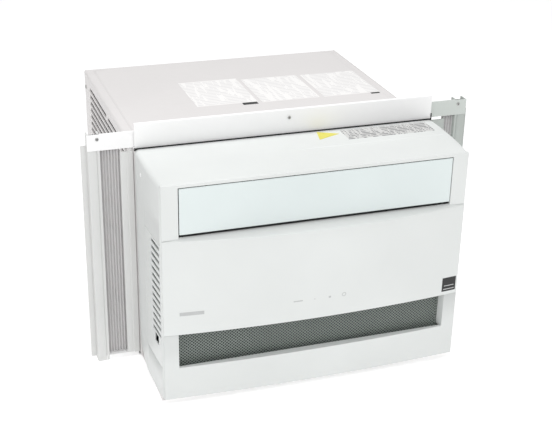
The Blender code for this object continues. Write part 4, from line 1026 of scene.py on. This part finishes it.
def make_rear_grille():
    """Level slanted bars in a frame with rounded edges, and three upright stays."""
    front = REAR[0].y - FACE
    back = REAR[1].y - FACE
    low, high = REAR[0].z, REAR[1].z
    half = REAR[1].x
    border = 0.018
    frame_plate = grid_plate(
        [-half, half],
        [low, high],
        front,
        back,
        lambda u, v, w: at(u, w, v),
        [(-half + border, half - border, low + border, high - border)],
    )
    add("rear_frame", frame_plate, CABINET_WHITE, replaces=["rear_grille"], rounding=0.0008)
    bars = bmesh.new()
    for z in spread(low + border, high - border, 26)[1:-1]:
        slat = along_x(
            [
                (front, z - 0.0012),
                (front, z + 0.0002),
                (back - 0.0004, z + 0.0016),
                (back - 0.0004, z),
            ],
            -half + border - 0.001,
            half - border + 0.001,
        )
        absorb(bars, slat)
    for x in (-half / 2, 0.0, half / 2):
        box_between(
            bars,
            (x - 0.002, front, low + border - 0.001),
            (x + 0.002, back - 0.001, high - border + 0.001),
        )
    add("rear_bars", bars, CABINET_WHITE)


def make_coil(node, name, tube_rows):
    """A stack of upright fins between two end plates, with straight tubes through them."""
    low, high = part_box(node)
    fins = bmesh.new()
    plate = 0.0012
    count = int((high.x - low.x) / 0.0024)
    for x in spread(low.x + plate, high.x - plate, count):
        box_between(
            fins,
            (x - 0.00015, low.y - FACE + 0.001, low.z),
            (x + 0.00015, high.y - FACE - 0.001, high.z),
        )
    add(name + "_fins", fins, ALUMINIUM, replaces=[node])
    ends = bmesh.new()
    for x in (low.x, high.x - plate):
        box_between(ends, (x, low.y - FACE, low.z), (x + plate, high.y - FACE, high.z))
    add(name + "_end_plates", ends, GALVANISED)
    tubes = bmesh.new()
    middle = (low.y + high.y) / 2
    for z in spread(low.z + 0.012, high.z - 0.012, tube_rows):
        start = Vector((low.x - 0.002, middle, z))
        disc(tubes, start, (1, 0, 0), 0.0035, high.x - low.x + 0.004, 10)
    add(name + "_tubes", tubes, COPPER)


# Rails and curtains


def make_top_rail():
    """The upright wall with a rolled foot, the floor and the low back lip, as one bent section."""
    front = RAIL[0].y - FACE + 0.0006
    back = RAIL[1].y - FACE - 0.0006
    floor = RAIL[0].z + 0.0006
    top = RAIL[1].z - 0.0002
    path = [(front + 0.0016, top), (front, top - 0.0012), (front, floor + 0.0030)]
    path += [(front + 0.0009, floor + 0.0009), (front + 0.0030, floor), (back - 0.0030, floor)]
    path += [(back - 0.0009, floor + 0.0009), (back, floor + 0.0030), (back, floor + 0.0114)]
    half = RAIL[1].x
    rail = along_x(ribbon(path, 0.0011), -half, half)
    add("top_rail_section", rail, RAIL_WHITE, replaces=["top_rail"], angle=50)
    # Black boxes in the gap in front of the rail and in the notch at its right end: painted shade.
    gap_shade = bmesh.new()
    gap_shade_top = cover_top(COVER_BACK) + 0.0008
    box_between(
        gap_shade,
        (-half - 0.0010, front - 0.0014, floor - 0.0006),
        (half + 0.0010, front + 0.0004, gap_shade_top),
    )
    box_between(
        gap_shade,
        (half - 0.0004, front - 0.0012, floor),
        (half + 0.0014, front + 0.0008, floor + 0.0120),
    )
    add("top_rail_painted_gap_shade", gap_shade, RUBBER_AND_GAP_SHADE)


def make_screw(name, centre, axis, body, radius):
    """A pan-head screw, with a black cross on its head as painted shade for its cross recess."""
    bm = bmesh.new()
    disc(bm, centre, axis, radius, radius * 0.30, 20)
    shoulder = Vector(centre) + Vector(axis) * radius * 0.30
    disc(bm, shoulder, axis, radius, radius * 0.22, 20, radius * 0.62)
    add(name, bm, STEEL, body)
    # A thin black cross laid on the head stands for the recess: painted shade.
    cross = bmesh.new()
    across = Vector(axis).orthogonal().normalized()
    other = Vector(axis).cross(across)
    middle = Vector(centre) + Vector(axis) * radius * 0.50
    for long, short in ((across, other), (other, across)):
        turn = Matrix((long, short, Vector(axis))).transposed().to_4x4()
        size = Matrix.Diagonal((radius * 1.05, radius * 0.22, radius * 0.08, 1.0))
        bmesh.ops.create_cube(cross, size=1.0, matrix=Matrix.Translation(middle) @ turn @ size)
    add(name + "_painted_recess_shade", cross, INNER_BLACK_AND_SHADE, body)


def make_curtain(side, word):
    """One curtain: the sliding frame's hollow sections, its corner plates, and the fixed strip."""
    body = f"{word}_curtain"
    front = FRAME_RIGHT[0].y - FACE
    back = FRAME_RIGHT[1].y - FACE
    outer = 0.3083
    inner = 0.2896
    foot, top = 0.0014, FRAME_RIGHT[1].z
    bar_low = top - 0.0245

    def mirrored(points):
        return [(side * x, d) for x, d in points]

    # The outer member is a rounded channel, with a groove down its face and a thin fin behind.
    channel = [
        (inner, back - 0.001),
        (inner, front + 0.0012),
        (inner + 0.0006, front + 0.0003),
        (inner + 0.0040, front + 0.0003),
        (inner + 0.0046, front + 0.0012),
        (inner + 0.0052, front + 0.0003),
        (inner + 0.0062, front),
        (outer - 0.0022, front),
        (outer - 0.0006, front + 0.0007),
        (outer, front + 0.0024),
        (outer, back),
        (outer - 0.002, back),
        (outer - 0.002, front + 0.0026),
        (inner + 0.002, front + 0.0026),
        (inner + 0.002, back - 0.001),
    ]
    member = along_z(mirrored(channel), foot, top)
    fin_profile = [
        (outer - 0.001, back - 0.0040),
        (outer + 0.0083, back - 0.0040),
        (outer + 0.0083, back - 0.0015),
        (outer + 0.0075, back - 0.0015),
        (outer + 0.0075, back - 0.0028),
        (outer - 0.001, back - 0.0028),
    ]
    fin = along_z(mirrored(fin_profile), foot + 0.004, top - 0.020)
    # On the right side these colours are darker copies of the left side's: painted shade.
    tone_and_shade = CURTAIN_TONE_AND_SHADE[word]
    add(f"{word}_member", merge(member, fin), tone_and_shade, body, [f"{word}_curtain_frame"], angle=40)
    bars = bmesh.new()
    low_x, high_x = sorted((side * 0.018, side * (outer - 0.0012)))
    box_between(bars, (low_x, front + 0.0002, bar_low), (high_x, front + 0.0040, top))
    low_x, high_x = sorted((side * 0.2418, side * (outer - 0.0012)))
    box_between(bars, (low_x, front + 0.0004, foot), (high_x, back - 0.0004, foot + 0.0086))
    add(f"{word}_bars", bars, BAR_TONE_AND_SHADE[word], body, rounding=0.0008)
    # The end of the top bar laps over the member as a raised corner plate.
    plate_ends = sorted((side * (inner - 0.0500), side * (outer + 0.0004)))
    plate = grid_plate(
        plate_ends,
        [bar_low - 0.0006, top + 0.0004],
        -0.0010,
        0.0,
        lambda u, v, w: at(u, front + w, v),
    )
    add(f"{word}_corner_plate", plate, BAR_TONE_AND_SHADE[word], body, rounding=0.0005)
    tongue = bmesh.new()
    low_x, high_x = sorted((side * 0.018, side * (outer - 0.0024)))
    box_between(tongue, (low_x, front + 0.0022, 0.0011), (high_x, back - 0.0022, 0.0034))
    add(f"{word}_tongue", tongue, tone_and_shade, body)
    # The strip on the cabinet holds the pleats' inner edge in a folded channel.
    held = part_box(f"{word}_retainer")
    r_inner, r_outer = sorted((abs(held[0].x), abs(held[1].x)))
    r_front = held[0].y - FACE
    strip_profile = [
        (r_inner, back),
        (r_inner, r_front + 0.0010),
        (r_inner + 0.0010, r_front),
        (r_inner + 0.0085, r_front),
        (r_inner + 0.0100, r_front + 0.0016),
        (r_outer - 0.0020, r_front + 0.0022),
        (r_outer, r_front + 0.0034),
        (r_outer, r_front + 0.0052),
        (r_outer - 0.0030, r_front + 0.0045),
        (r_inner + 0.0020, r_front + 0.0040),
        (r_inner + 0.0020, back),
    ]
    strip = along_z(mirrored(strip_profile), held[0].z, held[1].z)
    add(f"{word}_strip", strip, tone_and_shade, "housing", [f"{word}_retainer"], angle=40)
    make_pleats(side, word, r_outer, inner, foot + 0.0086, bar_low)
    head = at(side * 0.2939, front - 0.0010, top - 0.007)
    make_screw(f"{word}_screw_head", head, (0, -1, 0), body, SMALL_SCREW)
    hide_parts(f"{word}_curtain_screw")


def make_pleats(side, word, inner, outer, low, high):
    """A thin sheet in rounded folds."""
    folds = round((outer - inner) / 0.0043)
    steps = 8
    middle = (PLEATS[0].y + PLEATS[1].y) / 2 - FACE
    reach = 0.0024
    path = []
    for i in range(folds * steps + 1):
        t = i / (folds * steps)
        swing = math.sin(math.tau * folds * t)
        depth = middle + reach * math.copysign(abs(swing) ** 0.6, swing)
        path.append((side * lerp(inner - 0.001, outer + 0.001, t), depth))
    ring = ribbon(path, 0.0006)
    heights = spread(low + 0.0004, high - 0.0004, 6)
    bm = sweep(ring, [lambda a, b, z=z: at(a, b, z) for z in heights])
    obj = add(f"{word}_pleats", bm, PLEAT_GREY, None, [f"{word}_accordion"], angle=60)
    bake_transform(obj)


# Screws and small outside details


def make_details():
    head = at(0.0, 0.1410, RAIL[0].z + 0.0291)
    make_screw("rail_screw_head", head, (0, -1, 0), "housing", SMALL_SCREW)
    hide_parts("rail_screw")
    for side in (-1, 1):
        word = "left" if side < 0 else "right"
        for number, z in enumerate((0.060, 0.200, 0.330), 1):
            make_screw(
                f"cabinet_screw_{word}_{number}",
                at(side * HALF_CABINET, CABINET_BACK - 0.012, z),
                (side, 0, 0),
                "housing",
                LARGE_SCREW,
            )
        for number, x in enumerate((0.08, 0.22), 1):
            make_screw(
                f"rear_screw_{word}_{number}",
                at(side * x, REAR[1].y - FACE, REAR[1].z - 0.009),
                (0, 1, 0),
                "housing",
                LARGE_SCREW,
            )
    plug = bmesh.new()
    disc(plug, at(-side_x(0.097), 0.097, 0.339), (-1, 0, 0), 0.0030, 0.0008, 20, 0.0024)
    add("cover_screw_plug", plug, RAIL_WHITE)
    dimple = bmesh.new()
    disc(dimple, at(-0.128, 0.401, CABINET_TOP), (0, 0, 1), 0.0026, 0.0004, 20, 0.0020)
    add("roof_rivet", dimple, CABINET_WHITE)


make_panel()
make_fascia()
make_intake_mesh()
make_bezel()
make_flap()
touch_marks()
make_badges()
make_cover()
make_filter_door()
make_filter()
make_cover_labels()
make_cabinet()
make_cabinet_labels()
make_rear_grille()
make_coil("condenser_coil", "condenser", 12)
make_coil("evaporator_coil", "evaporator", 8)
make_top_rail()
make_curtain(-1, "left")
make_curtain(1, "right")
make_details()


# Floor, light and camera


def make_stage():
    bm = bmesh.new()
    bmesh.ops.create_grid(bm, x_segments=1, y_segments=1, size=40.0)
    mesh = bpy.data.meshes.new("floor")
    bm.to_mesh(mesh)
    bm.free()
    g = Graph("floor_white")
    g.set("Base Color", (0.80, 0.80, 0.80, 1.0))
    g.set("Roughness", 0.9)
    g.set("Emission Color", (1.0, 1.0, 1.0, 1.0))
    g.set("Emission Strength", 0.50)
    mesh.materials.append(g.material)
    floor = bpy.data.objects.new("floor", mesh)
    bpy.context.scene.collection.objects.link(floor)
    world = bpy.context.scene.world or bpy.data.worlds.new("studio")
    bpy.context.scene.world = world
    world.use_nodes = True
    background = world.node_tree.nodes["Background"]
    background.inputs["Color"].default_value = (1.0, 1.0, 1.0, 1.0)
    background.inputs["Strength"].default_value = 0.55


def make_light(name, position, target, size, power, colour=(1.0, 1.0, 1.0)):
    lamp = bpy.data.lights.new(name, "AREA")
    lamp.shape = "RECTANGLE"
    lamp.size, lamp.size_y = size
    lamp.energy = power
    lamp.color = colour
    obj = bpy.data.objects.new(name, lamp)
    obj.location = position
    obj.rotation_euler = (Vector(target) - Vector(position)).to_track_quat("-Z", "Y").to_euler()
    bpy.context.scene.collection.objects.link(obj)


def make_camera():
    data = bpy.data.cameras.new("camera")
    data.lens = 75.205
    data.sensor_width = 36.0
    data.clip_end = 50.0
    camera = bpy.data.objects.new("camera", data)
    right = Vector((0.94663, -0.32177, 0.01889))
    down = Vector((-0.11965, -0.40521, -0.90636))
    ahead = Vector((0.29929, 0.85573, -0.42208))
    turn = Matrix((right, -down, -ahead)).transposed().to_4x4()
    camera.matrix_world = Matrix.Translation(at(-0.56517, -1.42407, 0.98326)) @ turn
    bpy.context.scene.collection.objects.link(camera)
    bpy.context.scene.camera = camera


make_stage()
make_light("overhead", (-0.1, 0.0, 1.9), (-0.1, 0.0, 0.3), (1.6, 1.2), 14.0)
make_light("key", (-0.35, -1.3, 1.5), (0.0, -0.1, 0.25), (0.9, 0.9), 9.0)
make_camera()
bpy.context.scene.view_settings.view_transform = "Standard"
